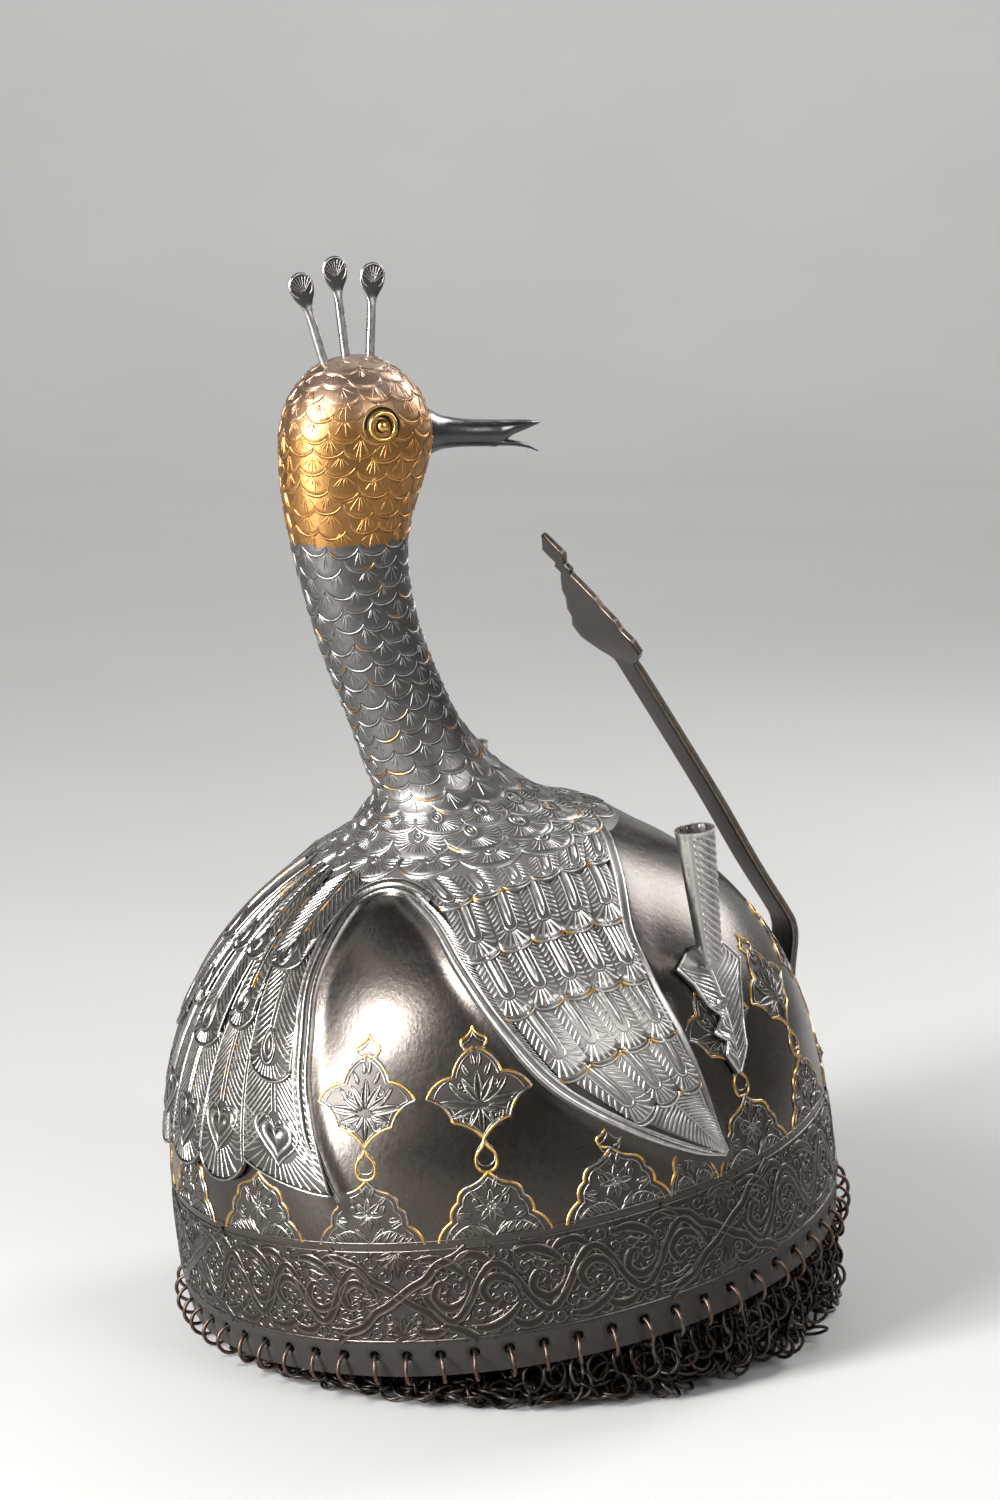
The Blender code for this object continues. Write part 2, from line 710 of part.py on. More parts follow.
def make_nasal_bar(material, parent):
    """A flat bar with a leaf at each end, lofted up the helmet's middle."""
    origin = Vector((BAR_MIDDLE, 0, SCREW_HEIGHT))
    points = []
    for i, (x, height, half_width, half_thick) in enumerate(NASAL_SECTIONS):
        before, after = NASAL_SECTIONS[max(i - 1, 0)], NASAL_SECTIONS[min(i + 1, len(NASAL_SECTIONS) - 1)]
        along = Vector((after[0] - before[0], 0, after[1] - before[1])).normalized()
        out = Vector((along.z, 0, -along.x))
        for y, depth in ((-1, -1), (0, -1), (1, -1), (1, 1), (0, 1), (-1, 1)):
            place = Vector((x, y * half_width, height)) + depth * half_thick * out
            points.append(place - origin)
    faces = loft_faces(len(NASAL_SECTIONS), 6)
    bar = new_object("nasal_bar", points, faces, material, parent)
    bar.location = origin * MM
    return bar


def skull_front(y, height):
    """How far forward the skull's surface is at this y and height."""
    radius = skull_radius(height)
    return SKULL_LEAN * height + radius * math.sqrt(1 - (y / (SIDE_RATIO * radius)) ** 2)


def make_nasal_bracket(material, parent):
    """A strap over the bar, with a foot on the skull at each side."""
    slot, wall, foot = BRACKET_SLOT_HALF, BRACKET_WALL, BRACKET_FOOT_HALF
    front, back = BRACKET_INSIDE_X + wall, BRACKET_INSIDE_X
    points = []
    for height in BRACKET_HEIGHTS:
        half = []
        for y, lift in ((foot, GAP), (slot, GAP)):
            half.append((skull_front(y, height) + lift, y))
        half += [(back, slot)]
        outer = [(front, slot + wall), (skull_front(slot + wall, height) + GAP + BRACKET_FOOT, slot + wall)]
        outer.append((skull_front(foot, height) + GAP + BRACKET_FOOT, foot))
        inside = half + [(x, -y) for x, y in reversed(half)]
        outside = [(x, -y) for x, y in reversed(outer)] + outer
        points += [Vector((x, y, height)) for x, y in inside + outside]
    sides = len(points) // 2
    bracket = new_object("nasal_bracket", points, loft_faces(2, sides), material, parent)
    hole = new_object(
        "screw_hole_cutter",
        *turned(((SCREW_HOLE_RADIUS, 0.0), (SCREW_HOLE_RADIUS, 8.0)), 14),
    )
    use_boolean(bracket, hole, "DIFFERENCE")
    hole.location = Vector((BRACKET_INSIDE_X - 2.0, 0, SCREW_HEIGHT)) * MM
    hole.rotation_euler = (0, math.pi / 2, 0)
    return bracket


def make_nasal_screw(material, parent):
    tip = BAR_FRONT + GAP
    low, high = SCREW_HEAD[0] - tip, SCREW_HEAD[1] - tip
    profile = (
        (SCREW_RADIUS, 0.0),
        (SCREW_RADIUS, low),
        (SCREW_HEAD_RADIUS, low),
        (SCREW_HEAD_RADIUS, high - 1.2),
        (SCREW_HEAD_RADIUS - 1.2, high),
    )
    screw = new_object("nasal_screw", *turned(profile, 14), material, parent)
    screw.location = Vector((tip, 0, SCREW_HEIGHT)) * MM
    screw.rotation_euler = (0, math.pi / 2, 0)
    return screw


def make_ring_guide(group):
    """Eight rings through their holes, each in the plane that its hole faces."""
    points, faces = [], []
    turns, wire_sides = RING_TURNS, RING_WIRE_SIDES
    for i in range(RING_COUNT // RING_GROUPS):
        azimuth = 360 * (group * RING_COUNT // RING_GROUPS + i + 0.5) / RING_COUNT
        start = len(points)
        centre = on_skull(azimuth, HOLE_HEIGHT, -WALL / 2)
        centre.z = RING_CENTRE_HEIGHT
        out = Vector((math.cos(math.radians(azimuth)), -math.sin(math.radians(azimuth)), 0))
        side = Vector((-out.y, out.x, 0))
        for turn in range(turns):
            angle = 2 * math.pi * (turn + 0.5) / turns
            spoke = out * math.cos(angle) + Vector((0, 0, 1)) * math.sin(angle)
            for k in range(wire_sides):
                around = 2 * math.pi * k / wire_sides
                wire = spoke * math.cos(around) + side * math.sin(around)
                points.append(centre + RING_RADIUS * spoke + WIRE_RADIUS * wire)
        ring = loft_faces(turns, wire_sides, start, False, False)
        last = start + (turns - 1) * wire_sides
        for k in range(wire_sides):
            after = (k + 1) % wire_sides
            ring.append((last + k, last + after, start + after, start + k))
        faces += ring
    return new_object(f"rim_rings_guide_{group + 1}", points, faces)


def make_rim_rings(group, material, parent):
    """The rings of one eighth of the rim, joined by the first links of the mail."""
    per_group = RING_COUNT // RING_GROUPS
    step = 360 / RING_COUNT
    points, sides = [], 3
    for station in range(per_group):
        over = (station == per_group - 1) - (station == 0)
        azimuth = (group * per_group + 0.5 + station + THREAD_END * over) * step
        centre = on_skull(azimuth, HOLE_HEIGHT, -WALL / 2)
        centre.z = RING_CENTRE_HEIGHT - RING_RADIUS * math.cos(math.pi / RING_TURNS)
        out = Vector((math.cos(math.radians(azimuth)), -math.sin(math.radians(azimuth)), 0))
        for k in range(sides):
            angle = 2 * math.pi * (k + 0.25) / sides
            shift = out * math.cos(angle) + Vector((0, 0, 1)) * math.sin(angle)
            points.append(centre + THREAD_RADIUS * shift)
    name = f"rim_rings_{group + 1}"
    thread = new_object(name, points, loft_faces(per_group, sides), material, parent)
    use_boolean(thread, make_ring_guide(group), "UNION")
    return thread


def mail_row(azimuth):
    """The mail's outer radius, inner radius and fullness at an azimuth."""
    azimuth %= 360
    rows = MAIL_SECTIONS + ((360.0, *MAIL_SECTIONS[0][1:]),)
    for low, high in zip(rows, rows[1:]):
        if low[0] <= azimuth <= high[0]:
            t = (azimuth - low[0]) / (high[0] - low[0])
            t = t * t * (3 - 2 * t)
            return [a + (b - a) * t for a, b in zip(low[1:], high[1:])]
    return list(rows[0][1:])


def make_mail(material):
    """A roll round the head opening, flat below, as high as the tipped rim leaves room."""
    points = []
    tip = math.radians(TIP_BACK)
    for step in range(MAIL_STEPS):
        azimuth = 360 * step / MAIL_STEPS
        angle = math.radians(azimuth)
        outer, inner, fullness = mail_row(azimuth)
        edge = EDGE_HEIGHT + 105.0 * math.cos(angle) * math.sin(tip)
        top = (edge - 4.4) * fullness
        width = outer - inner
        section = (
            (inner + 0.10 * width, 0.0),
            (outer - 0.06 * width, 0.0),
            (outer, 0.35 * top),
            (outer - 0.08 * width, 0.78 * top),
            (outer - 0.34 * width, top),
            (inner + 0.30 * width, 0.92 * top),
            (inner, 0.45 * top),
        )
        for radius, height in section:
            points.append((radius * math.cos(angle), -SIDE_RATIO * radius * math.sin(angle), height))
    sides = 7
    faces = loft_faces(MAIL_STEPS, sides, 0, False, False)
    last = (MAIL_STEPS - 1) * sides
    for k in range(sides):
        after = (k + 1) % sides
        faces.append((last + k, last + after, after, k))
    mail = new_object("mail_aventail", points, faces, material)
    mail.location.x = FORWARD * MM
    return mail


def main():
    for thing in list(bpy.data.objects):
        bpy.data.objects.remove(thing)
    steel = new_material("burnished_steel", (0.055, 0.048, 0.042), 0.34, 1.0)
    gilt = new_material("gilded_steel", (0.36, 0.22, 0.075), 0.36, 1.0)
    bright = new_material("bright_steel", (0.22, 0.23, 0.25), 0.3, 1.0)
    iron = new_material("dark_iron", (0.06, 0.05, 0.045), 0.5, 1.0)
    gold = new_material("gilded_eye", (0.62, 0.42, 0.14), 0.3, 1.0)
    tipped = bpy.data.objects.new("tipped_helmet", None)
    bpy.context.scene.collection.objects.link(tipped)
    tipped.location = Vector((FORWARD, 0, EDGE_HEIGHT)) * MM
    tipped.rotation_euler = (0, -math.radians(TIP_BACK), 0)
    make_bowl(steel, tipped)
    make_neck_and_head(gilt, tipped)
    make_beak(bright, tipped)
    for name, place in CREST_FEATHERS.items():
        make_crest_feather(name, place, steel, tipped)
    for side in (1, -1):
        make_eye(side, gold, tipped)
        make_plume_holder(side, steel, tipped)
        make_plume_rivet(side, steel, tipped)
    make_nasal_bracket(iron, tipped)
    make_nasal_screw(iron, tipped)
    make_nasal_bar(iron, tipped)
    for group in range(RING_GROUPS):
        make_rim_rings(group, iron, tipped)
    make_mail(iron)


main()
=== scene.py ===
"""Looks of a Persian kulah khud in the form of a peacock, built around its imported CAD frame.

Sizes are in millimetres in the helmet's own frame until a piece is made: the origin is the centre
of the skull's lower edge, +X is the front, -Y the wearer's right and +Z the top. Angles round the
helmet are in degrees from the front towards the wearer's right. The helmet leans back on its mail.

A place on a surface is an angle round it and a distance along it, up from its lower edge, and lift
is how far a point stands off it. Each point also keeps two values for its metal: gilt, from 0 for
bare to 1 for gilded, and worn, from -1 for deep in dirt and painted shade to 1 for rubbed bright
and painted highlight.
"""

import math

import bpy
import numpy as np
from mathutils import Matrix, Vector


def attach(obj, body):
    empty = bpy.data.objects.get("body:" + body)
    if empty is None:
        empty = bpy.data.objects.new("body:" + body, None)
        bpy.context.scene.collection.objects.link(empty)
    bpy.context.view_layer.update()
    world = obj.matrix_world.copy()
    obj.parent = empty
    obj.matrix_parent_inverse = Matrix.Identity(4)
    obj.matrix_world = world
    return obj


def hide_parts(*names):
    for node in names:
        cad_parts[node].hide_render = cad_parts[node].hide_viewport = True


# ---------------------------------------------------------------- sizes shared with the CAD frame
TILT = math.radians(8.3)
FORWARD, EDGE_HEIGHT = -1.54, 23.1  # where the helmet's own origin is in the world
SKULL_RADIUS, SKULL_HEIGHT, SIDE_RATIO = 110.0, 150.0, 0.94
SHOULDER, RIM_TAPER, LEAN = 12.0, 1.2, 0.012
HEIGHT_POWER, RADIUS_POWER = 2.8, 1.9
WALL = 1.8
HOLES, HOLE_HEIGHT, HOLE_RADIUS = 64, 7.0, 1.6
BAND_FOOT, BAND_TOP, BAND_LINE = 12.0, 41.0, 43.7

WING_SECTIONS = (  # front az, z, rear az, z
    (45, 139.5, 138, 138.2), (62, 132.5, 124.5, 130), (75, 119.5, 117, 117.5), (77.5, 104, 110.5, 102.5),
    (76.5, 88, 102.5, 83.5), (75.5, 72, 90.5, 66), (74.5, 58, 80, 54), (73.4, 50, 74, 49.4),
)
TAIL_EDGES = (  # one line of (az, z) for each edge between the tail's columns
    ((142, 137.4), (150.5, 132.5), (151.6, 118), (149.2, 103), (147.7, 89), (144.7, 72), (140.4, 57)),
    ((168.5, 137), (167, 120), (164.2, 107), (162.3, 94), (161.3, 80.5), (160.5, 67), (160.4, 57)),
    ((174.5, 137), (173, 104), (172.8, 97), (173, 83), (173.5, 66), (173.5, 57)),
    ((185.5, 137), (187, 104), (187.2, 97), (187, 83), (186.5, 66), (186.5, 57)),
)
BREAST_HEM = ((50.5, 1.7), (47.5, 2.2), (44.0, 2.5), (41.0, 2.5), (38.0, 2.2))  # radius, lift
NECK_SECTIONS = (  # x, z, lean, half length, half width
    (-1.2, 152, -1, 29.6, 28.2), (-5, 161.7, 6, 20.3, 19.6), (-11.1, 174.2, 16, 16.9, 16.3),
    (-15.2, 189, 14, 15.9, 15.4), (-20.3, 209.5, 9, 15.9, 15.3), (-22.6, 228, 3, 16.9, 15.8),
    (-22.8, 242.5, -6, 18.6, 16.8), (-21.1, 254, -9, 21, 18.3), (-18, 265.5, -10, 23.5, 19.8),
    (-15.4, 276, -9, 24.4, 20.2), (-14.4, 286, -6, 21.6, 18), (-14.8, 293.5, -3, 15.6, 13.2),
    (-15.6, 298.3, 0, 8.6, 7.4),
)
CROWN = (-15.9, 0, 299.8)

TINY = 1e-12  # keeps a division by a length from failing
rng = np.random.default_rng(7)


# ---------------------------------------------------------------- curves
def unit(count):
    """Even steps from 0 to 1."""
    return np.linspace(0, 1, count)


def turns(count):
    """Even steps round a circle in degrees."""
    return np.arange(count) * 360 / count


def spline(points, per):
    """A Catmull-Rom curve through points of shape (K, ...), with per steps between neighbours."""
    p = np.asarray(points, float)
    ends = np.concatenate([2 * p[:1] - p[1:2], p, 2 * p[-1:] - p[-2:-1]])
    t = (np.arange(per) / per).reshape((-1,) + (1,) * (p.ndim - 1))
    out = []
    for a, b, c, d in zip(ends, ends[1:], ends[2:], ends[3:]):
        out.append(0.5 * (2 * b + (c - a) * t + (2 * a - 5 * b + 4 * c - d) * t ** 2
                          + (3 * b - a - 3 * c + d) * t ** 3))
    return np.concatenate([*out, p[-1:]])


def arc(start, end, bulge, count=9):
    """A curve from start to end that stands out by bulge to the left of the way it goes."""
    a, b = np.array(start, float), np.array(end, float)
    side = np.array([a[1] - b[1], b[0] - a[0]])
    middle = (a + b) / 2 + side / (np.linalg.norm(side) + TINY) * bulge * 2
    t = unit(count)[:, None]
    return (1 - t) ** 2 * a + 2 * t * (1 - t) * middle + t ** 2 * b


def spiral(x, y, radius, coils, start, hand=1, count=18):
    """A line that winds in to (x, y) from radius, first met at start degrees from up."""
    t = unit(count)
    a = math.radians(start) + hand * t * coils * 2 * math.pi
    r = radius * (1 - t) ** 0.8 + 0.25
    return np.stack([x + r * np.sin(a), y + r * np.cos(a)], 1)


def both(lines):
    """The lines and their mirror images."""
    return [*lines, *[np.asarray(line) * (-1, 1) for line in lines]]


def smooth(x):
    """0 up to x = 0, 1 from x = 1, and a soft rise between them."""
    x = np.clip(x, 0, 1)
    return x * x * (3 - 2 * x)


def bell(x, width):
    """1 at x = 0, falling away on both sides within about width."""
    return np.exp(-(x / width) ** 2)


def taper(count, ends=0.25, share=0.2):
    """A scale along a line that narrows to both of its ends."""
    t = unit(count)
    return ends + (1 - ends) * np.clip(np.minimum(t, 1 - t) / share, 0, 1)


# ---------------------------------------------------------------- the surfaces that work is laid on
class Skin:
    """A surface as rings of points, read by angle round it and by distance along it."""

    def __init__(self, rings):
        self.rings = rings
        steps = np.linalg.norm(np.diff(rings, axis=0), axis=2).mean(axis=1)
        self.along = np.concatenate([[0], np.cumsum(steps)])
        around = np.roll(rings, -1, 1) - np.roll(rings, 1, 1)
        self.girth = np.linalg.norm(around, axis=2).sum(axis=1) / 2
        n = np.cross(np.gradient(rings, axis=0), around)
        self.normals = n / (np.linalg.norm(n, axis=2, keepdims=True) + TINY)

    def read(self, grid, angle, along):
        """Values of a grid of the rings' shape at places, blended between its points."""
        angle, along = np.broadcast_arrays(angle, along)
        rows, cols = grid.shape[:2]
        row = np.interp(along, self.along, np.arange(rows))
        col = (angle / 360 * cols) % cols
        i = np.minimum(row.astype(int), rows - 2)
        j = col.astype(int) % cols
        k = (j + 1) % cols
        u, v = (row - i)[..., None], (col - np.floor(col))[..., None]
        return ((grid[i, j] * (1 - v) + grid[i, k] * v) * (1 - u)
                + (grid[i + 1, j] * (1 - v) + grid[i + 1, k] * v) * u)

    def normal(self, angle, along):
        return self.read(self.normals, angle, along)

    def at(self, angle, along, lift=0.0):
        return self.read(self.rings, angle, along) + np.asarray(lift)[..., None] * self.normal(angle, along)

    def per_degree(self, along):
        """The length of a degree round the surface."""
        return np.interp(along, self.along, self.girth) / 360

    def even(self, angle, along, count):
        """A line on the surface as count evenly spaced places."""
        d = np.linalg.norm(np.diff(self.at(angle, along), axis=0), axis=1)
        d = np.concatenate([[0], np.cumsum(d)])
        at = np.linspace(0, d[-1], count)
        return np.interp(at, d, angle), np.interp(at, d, along)


SKULL_COLUMNS, NECK_COLUMNS = 720, 240
STEEP_TOP = 125.0  # the skull's rings are spaced by height up to here and by radius above
SEAT_INSIDE = 30.0  # the radius that they reach, inside the neck's seat


def skull_radius(h):
    low = SKULL_RADIUS - RIM_TAPER * (np.maximum(SHOULDER - h, 0) / SHOULDER) ** 2
    k = np.clip((h - SHOULDER) / (SKULL_HEIGHT - SHOULDER), 0, 1)
    return low * (1 - k ** HEIGHT_POWER) ** (1 / RADIUS_POWER)


def skull_height(r):
    rise = (1 - (r / SKULL_RADIUS) ** RADIUS_POWER) ** (1 / HEIGHT_POWER)
    return SHOULDER + (SKULL_HEIGHT - SHOULDER) * rise


def skull_rings():
    """Rings of the skull's outside from its lower edge to inside the neck's seat, and their heights."""
    radii = np.linspace(skull_radius(STEEP_TOP), SEAT_INSIDE, 90)
    h = np.concatenate([np.linspace(0, STEEP_TOP, 251)[:-1], skull_height(radii)])
    r = skull_radius(h)[:, None]
    a = np.radians(turns(SKULL_COLUMNS))
    x = LEAN * h[:, None] + r * np.cos(a)
    y = -SIDE_RATIO * r * np.sin(a)
    return np.stack([x, y, h[:, None] + 0 * x], 2), h


SKULL_RINGS, SKULL_LEVELS = skull_rings()
skull = Skin(SKULL_RINGS)


def climb(z):
    """Distance along the skull from its lower edge for a height above that edge."""
    return np.interp(z, SKULL_LEVELS, skull.along)


def neck_rings():
    """Rings of the breast, neck and head, from the breast's edge up to the crown."""
    angle = turns(NECK_COLUMNS)
    a = np.radians(angle)
    rings = [skull.at(angle, climb(skull_height(r)), lift) for r, lift in BREAST_HEM]
    for x, z, lean, half_length, half_width in NECK_SECTIONS:
        c, s = math.cos(math.radians(lean)), math.sin(math.radians(lean))
        reach = half_length * np.cos(a)
        rings.append(np.stack([x + reach * c, -half_width * np.sin(a), z + reach * s], 1))
    rings.append(np.array(CROWN) + 0.02 * (rings[-1] - CROWN))
    return spline(np.array(rings), 14)


neck = Skin(neck_rings())


# ---------------------------------------------------------------- meshes
class Bag:
    """Points and four-sided faces of one piece while it is built."""

    def __init__(self):
        self.points, self.faces, self.gilt, self.worn = [], [], [], []
        self.size = 0

    def add(self, points, faces, gilt=0.0, worn=0.0):
        """Points with faces that count from the first of them."""
        shape = points.shape[:-1]
        self.points.append(points.reshape(-1, 3))
        self.faces.append(faces.reshape(-1, 4) + self.size)
        self.gilt.append(np.broadcast_to(gilt, shape).ravel())
        self.worn.append(np.broadcast_to(worn, shape).ravel())
        self.size += self.points[-1].shape[0]

    def grid(self, points, gilt=0.0, worn=0.0, wrap=False, facing=None):
        """Sheets of shape (..., rows, columns, 3), turned to face along facing where that is given."""
        rows, cols = points.shape[-3:-1]
        p = points.reshape(-1, rows, cols, 3)
        r = np.arange(rows - 1)[:, None]
        c = np.arange(cols if wrap else cols - 1)[None, :]
        d = (c + 1) % cols
        faces = np.stack([r * cols + c, (r + 1) * cols + c, (r + 1) * cols + d, r * cols + d], 2)
        faces = faces[None] + (np.arange(len(p)) * rows * cols)[:, None, None, None]
        if facing is not None:
            i, j = (rows - 1) // 2, (cols - 1) // 2
            n = np.cross(p[:, i + 1, j] - p[:, i, j], p[:, i, j + 1] - p[:, i, j])
            wrong = (n * np.broadcast_to(facing, points.shape).reshape(p.shape)[:, i, j]).sum(-1) < 0
            faces = np.where(wrong[:, None, None, None], faces[..., ::-1], faces)
        self.add(points, faces, gilt, worn)

    def patch(self, skin, angle, along, lift=0.0, gilt=0.0, worn=0.0, wrap=False):
        """Part of a skin, raised by lift."""
        self.grid(skin.at(angle, along, lift), gilt, worn, wrap, skin.normal(angle, along))

    def lay(self, base, n, profile, scale=1.0, gilt=0.0):
        """Mouldings on lines of points (M, K, 3) with normals n; profile has rows of across, up, worn."""
        n = np.broadcast_to(n, base.shape)
        side = np.cross(n, np.gradient(base, axis=1))
        side /= np.linalg.norm(side, axis=-1, keepdims=True) + TINY
        across, up, worn = np.asarray(profile, float).T
        k = np.broadcast_to(scale, base.shape[:-1])[..., None, None]
        points = base[:, :, None] + k * (across[:, None] * side[:, :, None] + up[:, None] * n[:, :, None])
        self.grid(points, np.asarray(gilt, float)[..., None], worn, facing=n[:, :, None])

    def sweep(self, skin, angle, along, profile, lift=0.0, scale=1.0, gilt=0.0):
        """Mouldings on a skin along lines of shape (M, K)."""
        angle, along = np.broadcast_arrays(np.atleast_2d(angle), np.atleast_2d(along))
        self.lay(skin.at(angle, along, lift), skin.normal(angle, along), profile, scale, gilt)

    def draw(self, lines, angle, height, profile, scale=1.0, gilt=0.0, lift=0.0):
        """Mouldings drawn in mm about each of several places at one height on the skull.

        x counts away from the wearer's front on the right side, and y upwards."""
        angle = np.atleast_1d(np.asarray(angle, float))[:, None]
        for line in lines:
            x, y = np.asarray(line, float).T
            along = climb(height) + y
            self.sweep(skull, angle + x / skull.per_degree(along), along, profile, lift, scale, gilt)


def to_world(points):
    """Points of the helmet's own frame in the world's."""
    c, s = math.cos(TILT), math.sin(TILT)
    x, y, z = points.T
    return np.stack([FORWARD + x * c - z * s, y, EDGE_HEIGHT + x * s + z * c], 1)


def place_object(name, data):
    """An object in the scene with this data, at the origin."""
    ob = bpy.data.objects.new(name, data)
    bpy.context.scene.collection.objects.link(ob)
    return ob


def make_piece(name, metal, slot, make, *arguments, stands_for=(), body="helmet", world=False):
    """A piece that rides on a body of the frame; make fills its bag, in the world's frame if world."""
    bag = Bag()
    make(bag, *arguments)
    points = np.concatenate(bag.points)
    points = (points if world else to_world(points)) / 1000
    faces = np.concatenate(bag.faces).astype(np.int32)
    mesh = bpy.data.meshes.new(name)
    mesh.vertices.add(len(points))
    mesh.vertices.foreach_set("co", points.astype(np.float32).ravel())
    mesh.loops.add(faces.size)
    mesh.loops.foreach_set("vertex_index", faces.ravel())
    mesh.polygons.add(len(faces))
    mesh.polygons.foreach_set("loop_start", np.arange(0, faces.size, 4, dtype=np.int32))
    mesh.polygons.foreach_set("loop_total", np.full(len(faces), 4, np.int32))
    mesh.polygons.foreach_set("use_smooth", np.ones(len(faces), bool))
    for label, values in (("gilt", bag.gilt), ("worn", bag.worn)):
        layer = mesh.attributes.new(label, "FLOAT", "POINT")
        layer.data.foreach_set("value", np.concatenate(values).astype(np.float32))
    mesh.update(calc_edges=True)
    mesh.validate()
    mesh.materials.append(metals[metal])
    piece = place_object(name, mesh)
    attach(piece, body)
    if stands_for:
        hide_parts(*stands_for)


ROOT = 0.25  # how deep the foot of a raised line is sunk


def ridge(width, height, top=0.25, foot_dirt_and_shade=-1.0, shine=0.9):
    """The cross-section of a raised line with a flat top that is 2 * top of its width; its foot is darkened
    with dirt and painted shade and its top lightened with wear and painted highlight.
    """
    return ((-0.5 * width, -ROOT, foot_dirt_and_shade), (-top * width, height, shine), (top * width, height, shine),
            (0.5 * width, -ROOT, foot_dirt_and_shade))


def blade(width, height):
    """The cross-section of a broad flat line with a raised rim on both sides."""
    rows = ((-0.5, -0.5, -1), (-0.42, 0.9, 0.8), (-0.3, 1.0, 1), (-0.2, 0.55, -0.7), (0, 0.75, 0.1),
            (0.2, 0.55, -0.7), (0.3, 1.0, 1), (0.42, 0.9, 0.8), (0.5, -0.5, -1))
    return np.array(rows) * (width, height, 1)


def tip(rings):
    """The last ring drawn together to its middle."""
    return rings[-1:].mean(axis=1, keepdims=True) + 0 * rings[-1:]


# ---------------------------------------------------------------- feathers
RIB_TOP = 0.33  # the flat top of a barb or ray reaches this share of its width to either side
# how light the rim of a feather's free end is, with wear and painted highlight
EDGE_WEAR_AND_HIGHLIGHT = 0.8
BARB_MARGIN = 0.35  # how far short of the feather's sides the barbs end


